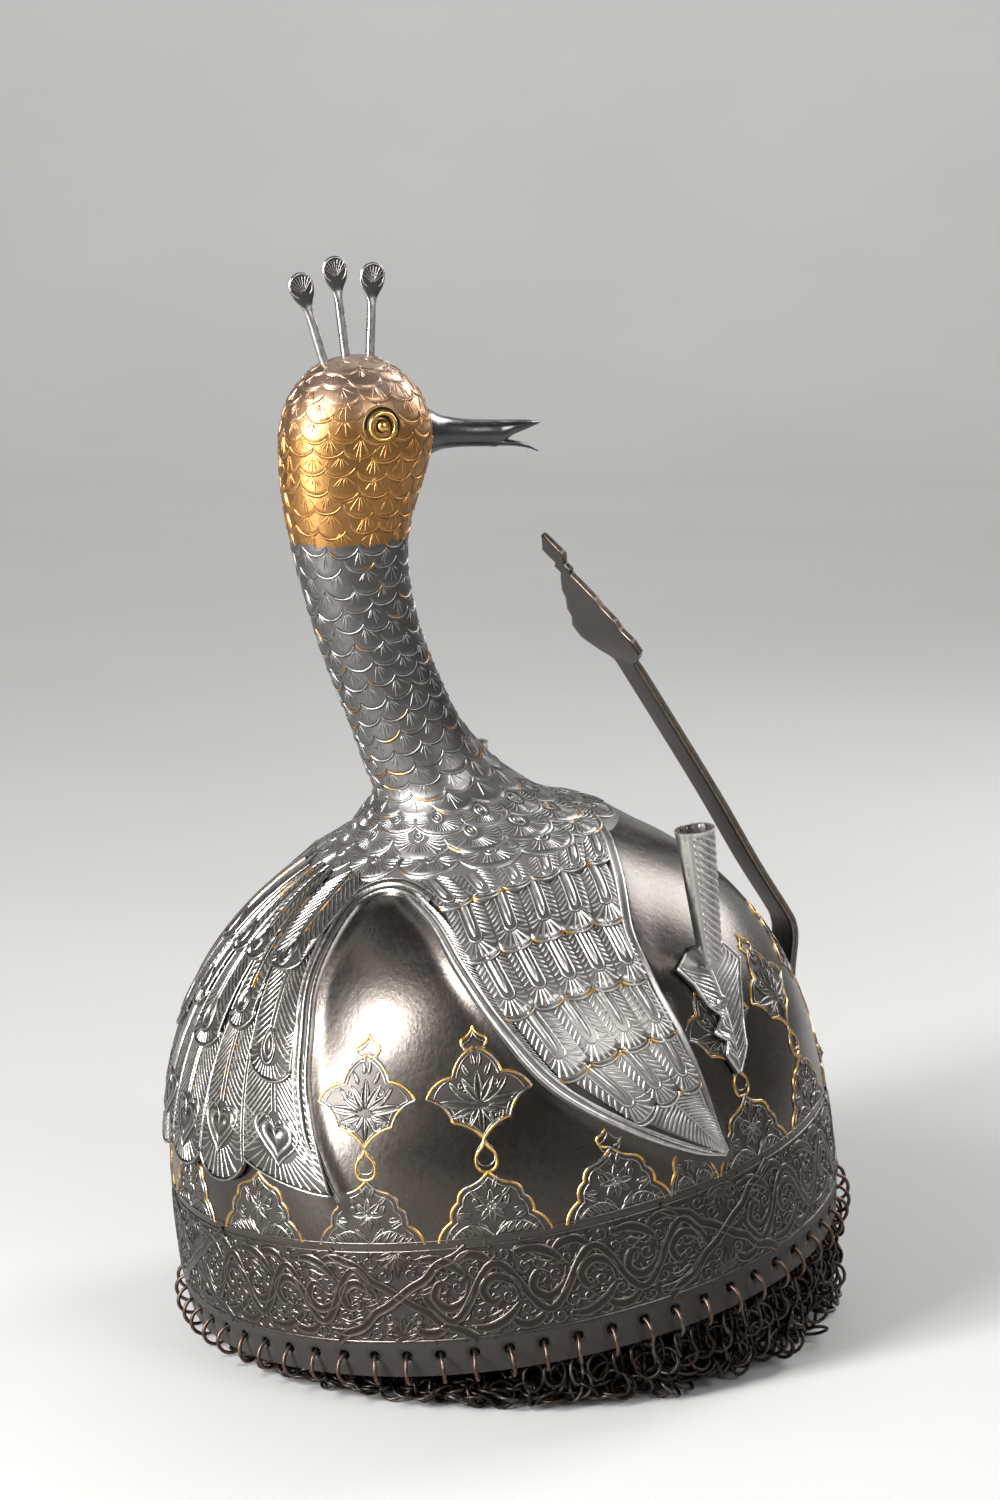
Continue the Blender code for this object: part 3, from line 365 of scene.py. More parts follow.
class Feathers:
    """A batch of feathers or scales on a skin, each between four corners.

    corners has shape (M, 4, 2): angle and distance along at root left, root right, tip left and
    tip right. depth is how far the round end goes past the tip corners, lift how far the root
    stands off the skin, rise how much more the tip does, pillow how far the middle swells and the
    last argument the worn value at the foot of its lines, dark with dirt and painted shade. A place
    on a feather is x across from its quill and y from its root, in mm.
    """

    def __init__(self, skin, corners, depth, lift, rise, pillow, foot_dirt_and_shade=-1.0):
        self.skin, self.corners, self.foot_dirt_and_shade = skin, np.asarray(corners, float), foot_dirt_and_shade
        self.depth, self.lift, self.rise, self.pillow = depth, lift, rise, pillow
        c = self.corners
        self.count = len(c)
        wide = np.abs(c[:, 1, 0] - c[:, 0, 0]) + np.abs(c[:, 3, 0] - c[:, 2, 0])
        self.half = (wide / 4 * skin.per_degree(c[:, :, 1].mean(axis=1)))[:, None, None]
        self.length = (np.abs(c[:, 0, 1] + c[:, 1, 1] - c[:, 2, 1] - c[:, 3, 1]) / 2)[:, None, None]
        self.length = self.length + depth * 0.8
        self.first_half, self.first_length = float(self.half[0, 0, 0]), float(self.length[0, 0, 0])

    def place(self, x, y):
        """Angle, distance along and lift for places of shape (M, n, K)."""
        a, t = x / self.half, y / self.length
        c = self.corners[:, :, :, None, None]
        u = (np.clip(a, -1.2, 1.2) + 1) / 2
        root = c[:, 0] * (1 - u)[:, None] + c[:, 1] * u[:, None]
        end = c[:, 2] * (1 - u)[:, None] + c[:, 3] * u[:, None]
        spot = root * (1 - t)[:, None] + end * t[:, None]
        dome = np.clip(1 - a ** 2, 0, 1)
        along = spot[:, 1] - self.depth * dome ** 0.5 * np.clip(t, 0, 1.1) ** 2
        return spot[:, 0], along, self.lift + self.rise * t + self.pillow * dome

    def sheet(self, bag, across=9, down=8, sink=0.9, worn=0.0):
        """The feather's body, whose free end is turned down by sink."""
        a = np.sin(np.linspace(-1, 1, across) * np.pi / 2)
        x, y = np.broadcast_arrays(a * self.half, unit(down)[:, None] * self.length)
        angle, along, lift = self.place(x, y)
        angle = np.concatenate([angle, angle[:, -1:]], 1)
        along = np.concatenate([along, along[:, -1:] - 0.15], 1)
        lift = np.concatenate([lift, lift[:, -1:] - sink], 1)
        wear = np.full(lift.shape, worn)
        # the rim of the free end is lightened with wear and painted highlight, and the foot under it darkened
        # with dirt and painted shadow
        wear[:, -2] = EDGE_WEAR_AND_HIGHLIGHT
        wear[:, -1] = -1.0
        bag.patch(self.skin, angle, along, lift, 0, wear)

    def line(self, bag, x, y, width, height, scale=1.0, gilt=0.0, top=0.25):
        """Raised lines at places of shape (n, K), or (M, n, K) where they differ."""
        x, y = np.broadcast_arrays(np.atleast_2d(x), np.atleast_2d(y))
        shape = (self.count,) + x.shape[-2:]
        places = self.place(np.broadcast_to(x, shape), np.broadcast_to(y, shape))
        angle, along, lift, scale, gilt = (np.broadcast_to(v, shape).reshape(-1, shape[-1])
                                           for v in (*places, scale, gilt))
        bag.sweep(self.skin, angle, along, ridge(width, height, top, self.foot_dirt_and_shade), lift, scale, gilt)

    def edge(self, bag, inset, width, height, gilt=0.0, count=15, top=0.25):
        """A line that follows the free end."""
        a = np.sin(np.linspace(-1, 1, count) * np.pi / 2) * 0.98
        self.line(bag, a * (self.half - inset * 0.6), self.length - inset, width, height, gilt=gilt, top=top)

    def barbs(self, bag, start, end, pitch, slope, inner, width, height, count=4, foot=0.9):
        """Barbs on both sides of the quill, which run outwards and towards the tip."""
        number = max(int((end - start) * float(self.length.max()) / pitch), 2)
        y = (start + (end - start) * unit(number))[:, None] * self.length
        reach = self.half - BARB_MARGIN - inner
        drop = reach * math.tan(math.radians(slope))
        room = np.clip((self.length - foot - y) / np.maximum(drop, 1e-6), 0.05, 1)
        t = unit(count)
        for side in (-1, 1):
            self.line(bag, side * (inner + reach * room * t), y + drop * room * t, width, height,
                      taper(count, 0.6, 0.3), top=RIB_TOP)

    def fan(self, bag, centre, inner, rays, spread, width, height, margin=0.4, foot=0.9):
        """Rays that stand round the end of a quill or eye at distance centre from the root."""
        turn = np.radians(np.linspace(-spread, spread, rays))[:, None]
        y = centre * self.length
        wide = (self.half - margin) / np.maximum(np.abs(np.sin(turn)), 1e-3)
        deep = (self.length - foot - y) / np.maximum(np.cos(turn), 0.15)
        reach = np.maximum(np.minimum(wide, deep), inner + 0.4)
        r = inner + (reach - inner) * unit(4)
        self.line(bag, r * np.sin(turn), y + r * np.cos(turn), width, height, np.linspace(0.6, 1.05, 4),
                  top=RIB_TOP)


# ---------------------------------------------------------------- wings
WING_ROWS = (6, 5, 5, 4, 3)  # short feathers in each row
WING_TIP = 5  # the section where the wing's single pointed end begins
# the worn values at the foot of the wing's lines, dark with dirt and painted shade, and of its ground, kept
# pale as painted light on the wing
WING_DIRT_AND_SHADE, WING_GROUND = -0.72, -0.12
QUILL_FOOT, QUILL_BEND, QUILL_END = 0.06, 0.35, 0.66  # shares of the feather's length
QUILL_HALF = 1.95
WING_BARB = {"width": 1.0, "height": 0.26, "foot": 1.7}
# a thin line goes down one side of the quill, round its end and up its other side
QUILL_TURN = np.radians([-90, -90, *np.linspace(-90, 90, 9), 90, 90])
QUILL_SHARES = np.array([QUILL_FOOT, QUILL_BEND, *[QUILL_END] * 9, QUILL_BEND, QUILL_FOOT])


def wing_corners(side, upper, lower, over, ends):
    """Corners of a feather between two sections of the wing, its root tucked over mm further up."""
    corners = []
    for k, extra in ((upper, over), (lower, 0)):
        front_az, front_z, rear_az, rear_z = WING_SECTIONS[k]
        for u in ends:
            z = rear_z + (front_z - rear_z) * u
            if 0 < k <= WING_TIP:
                z = z + 1.6 + 8.8 * u * (1 - u)
            corners.append((side * (rear_az + (front_az - rear_az) * u), climb(z) + extra))
    return corners


def wing_feathers(bag, side):
    """The five rows of short feathers."""
    for k, number in enumerate(WING_ROWS):
        u = np.linspace(0.05, 0.98, number + 1)
        over = 2.2 if k else 0.0
        corners = [wing_corners(side, k, k + 1, over, ends) for ends in zip(u, u[1:])]
        row = Feathers(skull, corners, depth=2.9, lift=1.8, rise=0.75, pillow=0.3, foot_dirt_and_shade=WING_DIRT_AND_SHADE)
        row.sheet(bag, sink=1.3, worn=WING_GROUND)
        y = (QUILL_FOOT + (QUILL_END - QUILL_FOOT) * unit(8)) * row.length
        row.line(bag, 0, y, 2.5, 0.62, np.array([0.8, 1, 1, 1, 1, 1, 0.85, 0.3]), top=0.3)
        x, y = QUILL_HALF * np.sin(QUILL_TURN), QUILL_SHARES * row.length + QUILL_HALF * np.cos(QUILL_TURN)
        row.line(bag, x, y, 0.55, 0.42)
        row.barbs(bag, start=-0.2, end=QUILL_END - 0.06, pitch=1.62, slope=47, inner=2.3, **WING_BARB)
        row.fan(bag, QUILL_END, inner=2.5, rays=9, spread=64, **WING_BARB)
        # the gilding is kept where neighbouring ends meet
        cusp = np.abs(np.sin(np.linspace(-1, 1, 15) * np.pi / 2)) ** 3
        kept = rng.uniform(0.15, 1.0, (row.count, 1, 1))
        row.edge(bag, inset=0.25, width=0.95, height=0.5, gilt=np.clip(cusp * 1.1 * kept + 0.1, 0, 1))
        row.edge(bag, inset=1.35, width=0.5, height=0.32)


def wing_tip(bag, side):
    """The wing's last, pointed part, a single herringbone."""
    corners = wing_corners(side, WING_TIP, len(WING_SECTIONS) - 1, 2.0, (0.03, 0.97))
    end = Feathers(skull, [corners], depth=0.0, lift=1.5, rise=0.2, pillow=0.5, foot_dirt_and_shade=WING_DIRT_AND_SHADE)
    end.sheet(bag, down=14, sink=1.2, worn=WING_GROUND)
    length = end.first_length
    y = np.linspace(0.02, 0.9, 19)[:, None] * length
    t = unit(4)
    for way in (-1, 1):
        x = way * (0.3 + (end.first_half - 0.9) * t)
        end.line(bag, x, np.minimum(y + 4.2 * t, length * 0.98), 1.15, 0.28, taper(4, 0.6, 0.3), top=RIB_TOP)
    end.line(bag, 0, np.linspace(0.0, 0.95, 10) * length, 0.9, 0.4)


def border_line(side, edge, count=70):
    """A wing's border as angles and distances along; edge 0 is the front one and 1 the rear one."""
    az, z = np.array(WING_SECTIONS, float)[:, 2 * edge:2 * edge + 2].T
    az, along = spline(np.stack([az, climb(z)], 1), 12).T
    return skull.even(side * az, along, count)


FRONT_ROLL = (  # outwards from the border, up, worn
    (-2.9, 1.9, -1), (-2.3, 2.75, 1), (-1.8, 2.75, 0.8), (-1.4, 2.3, -0.8), (-0.7, 2.55, 0.2),
    (0.2, 2.5, 0.3), (0.7, 2.75, 1), (1.2, 2.5, 0.8), (1.7, 1.6, -0.4), (2.6, 0.5, -0.6), (3.6, -0.3, 0),
)
REAR_ROLL = (
    (-3.0, 1.7, -1), (-2.5, 2.85, 1), (-2.0, 2.85, 0.8), (-1.5, 2.2, -1), (-0.8, 3.0, 0.7),
    (0.0, 3.35, 1), (0.7, 3.0, 0.8), (1.1, 1.9, -0.2), (1.4, 0.6, -1), (2.0, -0.3, -0.6),
)


def wing_borders(bag, side):
    """The rolled ridges down the wing's two borders, and the barbs inside the rear one."""
    for edge, hand, roll in ((0, side, FRONT_ROLL), (1, -side, REAR_ROLL)):
        angle, along = border_line(side, edge)
        k = unit(len(angle))
        scale = 0.66 + 0.34 * smooth((1 - k) / 0.3)
        if edge == 1:
            scale = scale * (0.62 + 0.38 * smooth(k / 0.3))
        bag.sweep(skull, angle, along, np.array(roll) * (hand, 1, 1), 0.0, scale)
    angle, along = (line[4:-8, None] for line in border_line(side, 1, 110))
    t = unit(4)
    angle = angle - side * (2.4 + 3.2 * t) / skull.per_degree(along)
    bag.sweep(skull, angle, along - 2.4 * t, ridge(0.62, 0.3), 2.5, taper(4, 0.5, 0.4))


def wing(bag, side):
    """One wing; side is 1 for the right one and -1 for the left one."""
    wing_feathers(bag, side)
    wing_tip(bag, side)
    wing_borders(bag, side)


# ---------------------------------------------------------------- tail
TAIL_FEATHERS = (  # left column, right column, left z, right z, depth, top z, eye from the tip, kind, lift
    (0.06, 1.0, 58.5, 67.0, 1.5, 102, 13.5, "heart", 1.5),
    (1.0, 2.0, 66.5, 66.5, 8.5, 108, 15.0, "heart", 1.5),
    (2.0, 3.0, 66.5, 66.5, 8.5, 104, 12.5, "heart", 1.5),
    (0.20, 0.98, 94.0, 98.0, 7.0, 126, 9.5, "tear", 2.0),
    (2.08, 2.92, 99.0, 99.0, 6.5, 128, 9.5, "tear", 2.0),
    (1.05, 1.97, 106.5, 106.5, 6.5, 134, 8.5, "tear", 2.1),
    (0.34, 1.12, 120.5, 121.0, 5.0, 138, 6.5, "tear", 2.5),
    (1.55, 2.5, 121.0, 121.5, 5.0, 138, 6.5, "tear", 2.5),
)
MIDDLE_COLUMN = 2.0
EYE_SIZES = {"heart": (6.6, 1.12), "tear": (3.9, 1.5)}  # largest size, where the rays start as a share of it
EYE_RINGS = (  # share of the outline, up, worn
    (0.0, 0.5, 0.3), (0.4, 0.42, 0.1), (0.48, 0.0, -1), (0.57, 0.0, -1), (0.63, 0.5, 0.6), (0.9, 0.5, 0.3),
    (0.96, 0.0, -1), (1.05, 0.0, -1), (1.1, 0.6, 0.9), (1.2, 0.6, 0.9), (1.25, -0.1, -1),
)


def tail_edge(c, z):
    """The angle of a place at column c, where whole numbers are the edges between columns."""
    c, z = np.broadcast_arrays(np.asarray(c, float), np.asarray(z, float))
    edges = np.stack([np.interp(z, *np.array(line, float)[::-1].T[::-1]) for line in TAIL_EDGES])
    i = np.clip(np.floor(c).astype(int), 0, len(TAIL_EDGES) - 2)
    low = np.take_along_axis(edges, i[None], 0)[0]
    high = np.take_along_axis(edges, i[None] + 1, 0)[0]
    return low + (high - low) * (c - i)


def eye_outline(kind, size):
    """The outline of a heart or teardrop about (0, 0), with its point at the far end."""
    t = np.linspace(0, 2 * np.pi, 29)
    if kind == "heart":
        x = 1.05 * np.sin(t) ** 3
        y = -(13 * np.cos(t) - 5 * np.cos(2 * t) - 2 * np.cos(3 * t) - np.cos(4 * t)) / 15.5
    else:
        x = 0.72 * np.sin(t) * np.sin(t / 2) ** 0.9
        y = -1.125 * np.cos(t)
    return x * size, y * size


def tail_feather(bag, f, eye, kind):
    """The barbs, quill, nested eye and borders of one long feather."""
    length, half = f.first_length, f.first_half
    centre = length - eye
    largest, ray_start = EYE_SIZES[kind]
    size = min(largest, half * 0.66)
    end = (centre - size * 0.9) / length + 0.02
    f.barbs(bag, -0.12, end, pitch=2.0, slope=52, inner=1.5, width=1.15, height=0.32, count=6, foot=1.2)
    f.fan(bag, centre / length, inner=size * ray_start, rays=27, spread=112, width=1.1, height=0.32, foot=1.2)
    y = np.linspace(0.0, centre - size * 1.1, 14)
    for x, gold in ((-0.75, 0.6), (0.75, 0.4)):
        f.line(bag, x, y, 0.7, 0.5, gilt=gold * rng.uniform(0.0, 0.75))
    ex, ey = eye_outline(kind, size)
    share, up, worn = np.array(EYE_RINGS).T[:, :, None]
    angle, along, lift = f.place((ex * share)[None], (centre + ey * share)[None])
    bag.patch(skull, angle, along, lift + up, 0, worn)
    f.edge(bag, inset=0.35, width=0.85, height=0.45, count=21)
    for way in (-1, 1):
        f.line(bag, way * (half - 0.35), np.linspace(0, length * 0.97, 24), 0.7, 0.4)


def tail_half(bag, side):
    """The long feathers of half of the tail; the middle column belongs to the right half."""
    for c0, c1, z0, z1, depth, top, eye, kind, lift in TAIL_FEATHERS:
        if side < 0 and c0 >= MIDDLE_COLUMN:
            continue
        corners = [(side * float(tail_edge(c, z)), float(climb(z)))
                   for c, z in ((c0, top), (c1, top), (c0, z0), (c1, z1))]
        f = Feathers(skull, [corners], depth, lift, rise=0.75, pillow=0.5)
        f.sheet(bag, across=15, down=24, sink=1.5, worn=-0.55)
        tail_feather(bag, f, eye, kind)


ARCH = ((126.0, 133.2), (131.5, 135.6), (138.5, 136.9), (145.5, 136.2))  # az, z
TAIL_ROLL = (  # outwards from the edge, up, worn
    (3.0, -0.3, 0), (1.8, 0.4, -0.3), (0.9, 1.5, 0.1), (0.3, 2.3, 0.6), (-0.4, 2.35, 0.4),
    (-0.9, 1.8, -0.9), (-1.5, 2.8, 0.5), (-2.3, 3.1, 0.7), (-3.1, 2.8, 0.4), (-3.6, 2.1, -0.9),
    (-4.0, 2.8, 0.8), (-4.6, 2.7, 0.7), (-5.2, 1.6, -1),
)


def tail_border_line(side, count):
    """The tail's front edge, with the arch that joins it to the wing, as angles and distances along."""
    az, z = np.array((*ARCH, *TAIL_EDGES[0][1:]), float).T
    az, along = spline(np.stack([az, climb(z)], 1), 12).T
    return skull.even(side * az, along, count)


def tail_borders(bag, side):
    """The three ridges along the tail's front edge, with the step outside them."""
    angle, along = tail_border_line(side, 80)
    scale = 0.35 + 0.65 * smooth((1 - unit(80)) / 0.2)
    bag.sweep(skull, angle, along, np.array(TAIL_ROLL) * (side, 1, 1), 0.0, scale)


def plumage_ground(bag):
    """The raised metal under the feathers of the wings and tail."""
    u = unit(30)
    z, c = np.linspace(137, 68, 60)[:, None], np.linspace(0.0, 2.5, 30)
    for side in (1, -1):
        front, rear = (np.array(border_line(side, edge, 60))[:, :, None] for edge in (0, 1))
        bag.patch(skull, *(front * (1 - u) + rear * u), 1.45, 0, -0.4)
        bag.patch(skull, side * tail_edge(c, z), climb(z), 1.3, 0, -0.4)


def tail(bag):
    """The tail, with the raised ground that it shares with the wings."""
    plumage_ground(bag)
    for side in (1, -1):
        tail_half(bag, side)
        tail_borders(bag, side)


# ---------------------------------------------------------------- scales of the breast, neck and head
COLLAR_HEIGHT, COLLAR_SLOPE, COLLAR_BACK, COLLAR_SOFT = 243.0, 0.14, 22, 1.2  # the gilding's lower line
SCALES_FROM, SCALES_END, RIBBED_TO = 1.5, 9, 23  # distances along the neck's skin, the second from its top
SCALE_LENGTH = 1.02  # all shares are of a scale's size
SCALE_SIZES = ((0, 18.0), (14, 17.0), (26, 12.0), (36, 9.8), (60, 9.2))  # distance along, mm across
SCALE_RISES = ((0, 0.34), (12, 0.34), (30, 0.36), (80, 0.34), (110, 0.22))
SCALE_SHOWN = ((14, 0.53), (26, 0.63))  # share of the length that the next row leaves clear
SCALE_SLIPS = ((10, 0.04), (60, 0.05), (90, 0.1))  # how far the scales are out of line
FLECK_FROM = 0.58  # the share of scales with no trace of gilding
RAY_FROM, RIBBED_EYE, PLAIN_EYE = 0.8, 0.56, 0.33


def value_at(table, x):
    """The value at x of a table with rows of x and value."""
    return float(np.interp(x, *zip(*table)))


def gilt_above(points):
    """How much of the metal is gilded at places in mm: all above the collar line, none below."""
    above = points[..., 2] - COLLAR_HEIGHT + COLLAR_SLOPE * (points[..., 0] + COLLAR_BACK)
    return np.clip(above / COLLAR_SOFT + 0.5, 0, 1)


def scale_corners(row, w, size, number):
    """Corners of a row of scales whose feet are near distance w along the neck."""
    step = 360 / number
    corners = []
    for i in range(number):
        middle = (i + 0.5 * (row % 2)) * step
        across, down, turn = rng.uniform(-1, 1, 3) * value_at(SCALE_SLIPS, w)
        left, right = middle - step * 0.52 + across * step, middle + step * 0.52 + across * step
        foot, head = w + size * 0.42 + down * size, w + size * SCALE_LENGTH * 1.08
        turn = turn * size * 0.8
        corners.append(((left, head), (right, head), (left, foot + turn), (right, foot - turn)))
    return corners


def ribbed_scales(bag, f, traces, size, kept):
    """The rim, the many rays and the oval eye of the breast's large scales."""
    f.edge(bag, inset=0.65, width=1.2, height=0.24, gilt=traces, count=11, top=0.4)
    f.fan(bag, RIBBED_EYE, inner=size * 0.19, rays=23, spread=96, width=0.76, height=0.24, margin=0.9,
          foot=1.9)
    t = np.linspace(0, 2 * np.pi, 13)
    for share in (0.14, 0.05):
        x, y = size * share * 0.7 * np.sin(t), f.first_length * RIBBED_EYE + size * share * np.cos(t)
        f.line(bag, x, y, 0.75, 0.34, gilt=kept * 0.35, top=0.3)


def plain_scales(bag, f, traces):
    """The rim and the five uneven rays of the neck's small scales."""
    f.edge(bag, inset=0.45, width=0.62, height=0.26, gilt=traces, count=11)
    spread = np.radians(rng.uniform(26, 46, (f.count, 1, 1)))
    turn = spread * np.linspace(-1, 1, 5)[:, None] + np.radians(rng.uniform(-9, 9, (f.count, 5, 1)))
    reach = f.first_length * rng.uniform(0.3, 0.56, (f.count, 5, 1))
    r = RAY_FROM + (reach - RAY_FROM) * unit(4)
    y = f.first_length * PLAIN_EYE + r * np.cos(turn)
    f.line(bag, r * np.sin(turn), y, 0.56, 0.24, (0.4, 0.9, 1, 0.5))


def neck_and_head(bag):
    """The skin of the neck and head under rows of scales that get smaller upwards."""
    bag.patch(neck, *np.meshgrid(turns(128), np.linspace(0, neck.along[-1], 150)), worn=-0.3, wrap=True)
    row, w = 0, SCALES_FROM
    while w < neck.along[-1] - SCALES_END:
        size, ribbed = value_at(SCALE_SIZES, w), w < RIBBED_TO
        length = size * SCALE_LENGTH
        girth = float(np.interp(w + length * 0.5, neck.along, neck.girth))
        number = max(int(round(girth / size)), 5)
        f = Feathers(neck, scale_corners(row, w, size, number), depth=size * 0.44, lift=-0.1,
                     rise=value_at(SCALE_RISES, w), pillow=0.04, foot_dirt_and_shade=-0.95 if ribbed else -1.0)
        # the ribbed scales' ground is darkened between the rays with dirt and painted shade
        f.sheet(bag, down=7, sink=0.4, worn=-0.72 if ribbed else 0.05)
        kept = np.maximum(rng.uniform(0, 1, (f.count, 1, 1)) - FLECK_FROM, 0) * 4.0
        place = rng.uniform(-1, 1, (f.count, 1, 1))
        traces = kept * np.clip(1.3 - np.abs(np.linspace(-1, 1, 11) - place) * 1.5, 0, 1)
        if ribbed:
            ribbed_scales(bag, f, traces, size, kept)
        else:
            plain_scales(bag, f, traces)
        w += length * value_at(SCALE_SHOWN, w)
        row += 1
    bag.gilt = [np.maximum(gold, gilt_above(points)) for gold, points in zip(bag.gilt, bag.points)]


# ---------------------------------------------------------------- chased work on the skull
LEAF = (  # across, up, worn
    (-1, -0.4, -1), (-0.84, 0.9, 0.6), (-0.5, 0.95, 0.5), (-0.32, 0.3, -1), (0, 0.8, 0.6),
    (0.32, 0.3, -1), (0.5, 0.95, 0.5), (0.84, 0.9, 0.6), (1, -0.4, -1),
)
PLAIN_LEAF = ((-1, -0.4, -1), (-0.55, 0.9, 0.6), (0, 0.35, -0.8), (0.55, 0.9, 0.6), (1, -0.4, -1))
MEDALLION = (  # from, to, how far the edge stands out, share that is still gilded
    ((0.4, 15.0), (7.3, 6.6), 1.3, 0.95), ((7.3, 6.6), (15.7, 0.6), 1.5, 0.8),
    ((15.7, 0.6), (8.6, -7.0), -1.6, 0.75), ((8.6, -7.0), (0, -12.9), -1.1, 0.85),
)
LOWER_HALF = (
    ((0, 20.5), (6.6, 16.4), -0.7, 0.95), ((6.6, 16.4), (9.8, 12.0), 1.0, 0.7),
    ((9.8, 12.0), (12.2, 6.4), 1.1, 0.9), ((12.2, 6.4), (17.0, 0.2), 0.9, 0.9),
)
FINIAL = (
    ((0.7, 14.2), (3.5, 15.6), -0.5, 0.9), ((3.5, 15.6), (2.3, 18.2), -0.9, 1.0),
    ((2.3, 18.2), (0, 21.4), 0.4, 1.0),
)
LINK = (
    ((0, -13.0), (1.5, -16.0), -0.3, 1.0), ((1.5, -16.0), (3.1, -19.6), 0.5, 1.0),
    ((3.1, -19.6), (0, -22.8), 1.1, 1.0),
)
MEDALLIONS = (0, 22.5, 45.5, 66, 115.3, 136, 224, 244.7, 294, 314.5, 337.5)  # angles
LOWER_HALVES = (*MEDALLIONS, 94.5, 158, 202, 265.5, 180)
SMALL_HALVES, SMALL = (80.5, 279.5), 0.52
CROWNED_HALVES, CROWN_RAISED = (94.5, 265.5), 6.6  # lower halves with a finial of their own
MEDALLION_LEVEL, LOWER_LEVEL = 85.0, 42.8  # heights that the outlines above are drawn about
PALMETTE = (  # x, y, direction, length, width
    (0, -1.6, 0, 9.6, 3.2), (0.5, -1.6, 29, 8.8, 2.9), (0.9, -1.9, 57, 8.2, 2.8), (2.2, -2.4, 82, 10.6, 3.4),
    (1.6, -3.4, 108, 8.0, 2.8), (0.6, -3.4, 150, 6.6, 2.4), (0, -3.4, 180, 8.2, 2.2),
    (5.6, 0.9, 35, 5.2, 2.0), (2.4, 6.0, 24, 4.8, 1.7), (6.4, -4.6, 196, 3.6, 1.6), (0.6, 9.0, 8, 4.4, 1.4),
)
FLOWER = tuple((0, 9.8, turn, 5.4, 2.5) for turn in range(0, 360, 45))
LEAFY_ARCH = (
    (1.2, 1.4, 38, 5.6, 2.2), (3.6, 1.3, 40, 5.4, 2.1), (6.0, 1.2, 42, 4.8, 2.0), (8.3, 1.0, 46, 4.4, 1.8),
    (10.8, 0.9, 52, 3.6, 1.5), (5.2, 13.0, 200, 3.6, 1.7), (6.2, 8.0, 84, 4.6, 2.0), (6.6, 5.4, 62, 5.0, 1.8),
    (0.9, 15.0, 20, 4.4, 1.6), (3.4, 12.8, 44, 4.2, 1.6),
)


def leaves(bag, table, angle, height, rise=0.5, shrink=1.0, hands=(1,), steps=8, profile=LEAF):
    """Domed leaves with a sunk vein; table has rows of x, y, direction, length and width."""
    rows = np.array([(h * x, y, h * turn, *size) for x, y, turn, *size in table for h in hands], float)
    x, y, turn, length, width = rows.T[:, :, None, None]
    across, up, worn = np.array(profile).T
    t = unit(steps)[:, None]
    swollen = np.sin(np.pi * t ** 0.75)
    across, ahead = across * width / 2 * swollen ** 0.75, t * length
    c, s = np.cos(np.radians(turn)), np.sin(np.radians(turn))
    along = climb(height) + (y + ahead * c - across * s)
    off = (x + ahead * s + across * c) * shrink / skull.per_degree(along)
    angle = np.atleast_1d(np.asarray(angle, float))[:, None, None, None] + off
    bag.patch(skull, angle, along, rise * up * swollen ** 0.4, 0, worn)


def outline(bag, arcs, angle, height, shrink=1.0):
    """A doubled outline: a gilded line with a thin one inside it; the arcs run down its right side."""
    for start, end, bulge, gold in arcs:
        curve = arc(start, end, bulge)
        kept = np.clip(gold * rng.uniform(0.6, 1.1), 0, 1) * rng.uniform(0.72, 1.0, len(curve))
        bag.draw(both([curve * (shrink, 1)]), angle, height, ridge(1.15, 0.42), gilt=kept)
        bag.draw(both([curve * (0.86 * shrink, 0.92)]), angle, height, ridge(0.6, 0.28))


def medallion_fill(bag):
    """The palmette, leaves and scrolls inside the medallions."""
    leaves(bag, PALMETTE, MEDALLIONS, MEDALLION_LEVEL, 0.55, hands=(1, -1))
    scrolls = both([spiral(4.4, -6.6, 2.2, 1.3, 60, -1), spiral(5.0, 3.4, 1.4, 1.1, 200, 1, 12)])
    bag.draw(scrolls, MEDALLIONS, MEDALLION_LEVEL, ridge(0.7, 0.36))


def lower_half(bag, angle, shrink):
    """A half medallion that stands on the band, with a flower and two leafy arches inside it."""
    outline(bag, LOWER_HALF, angle, LOWER_LEVEL, shrink)
    leaves(bag, FLOWER, angle, LOWER_LEVEL, 0.5, shrink)
    leaves(bag, LEAFY_ARCH, angle, LOWER_LEVEL, 0.5, shrink, hands=(1, -1))
    lines = (arc((0.4, 1.0), (12.6, 1.2), 3.6, 13), spiral(0, 9.8, 1.2, 0.9, 0, 1, 9))
    bag.draw(both([line * (shrink, 1) for line in lines]), angle, LOWER_LEVEL, ridge(0.8, 0.4))


def medallions(bag):
    """The ring of medallions with their finials and links, and the halves that stand on the band."""
    for arcs in (MEDALLION, FINIAL, LINK):
        outline(bag, arcs, MEDALLIONS, MEDALLION_LEVEL)
    medallion_fill(bag)
    lower_half(bag, LOWER_HALVES, 1.0)
    lower_half(bag, SMALL_HALVES, SMALL)
    up = np.array((0, CROWN_RAISED))
    outline(bag, [(start + up, end + up, bulge, gold) for start, end, bulge, gold in FINIAL],
            CROWNED_HALVES, LOWER_LEVEL)


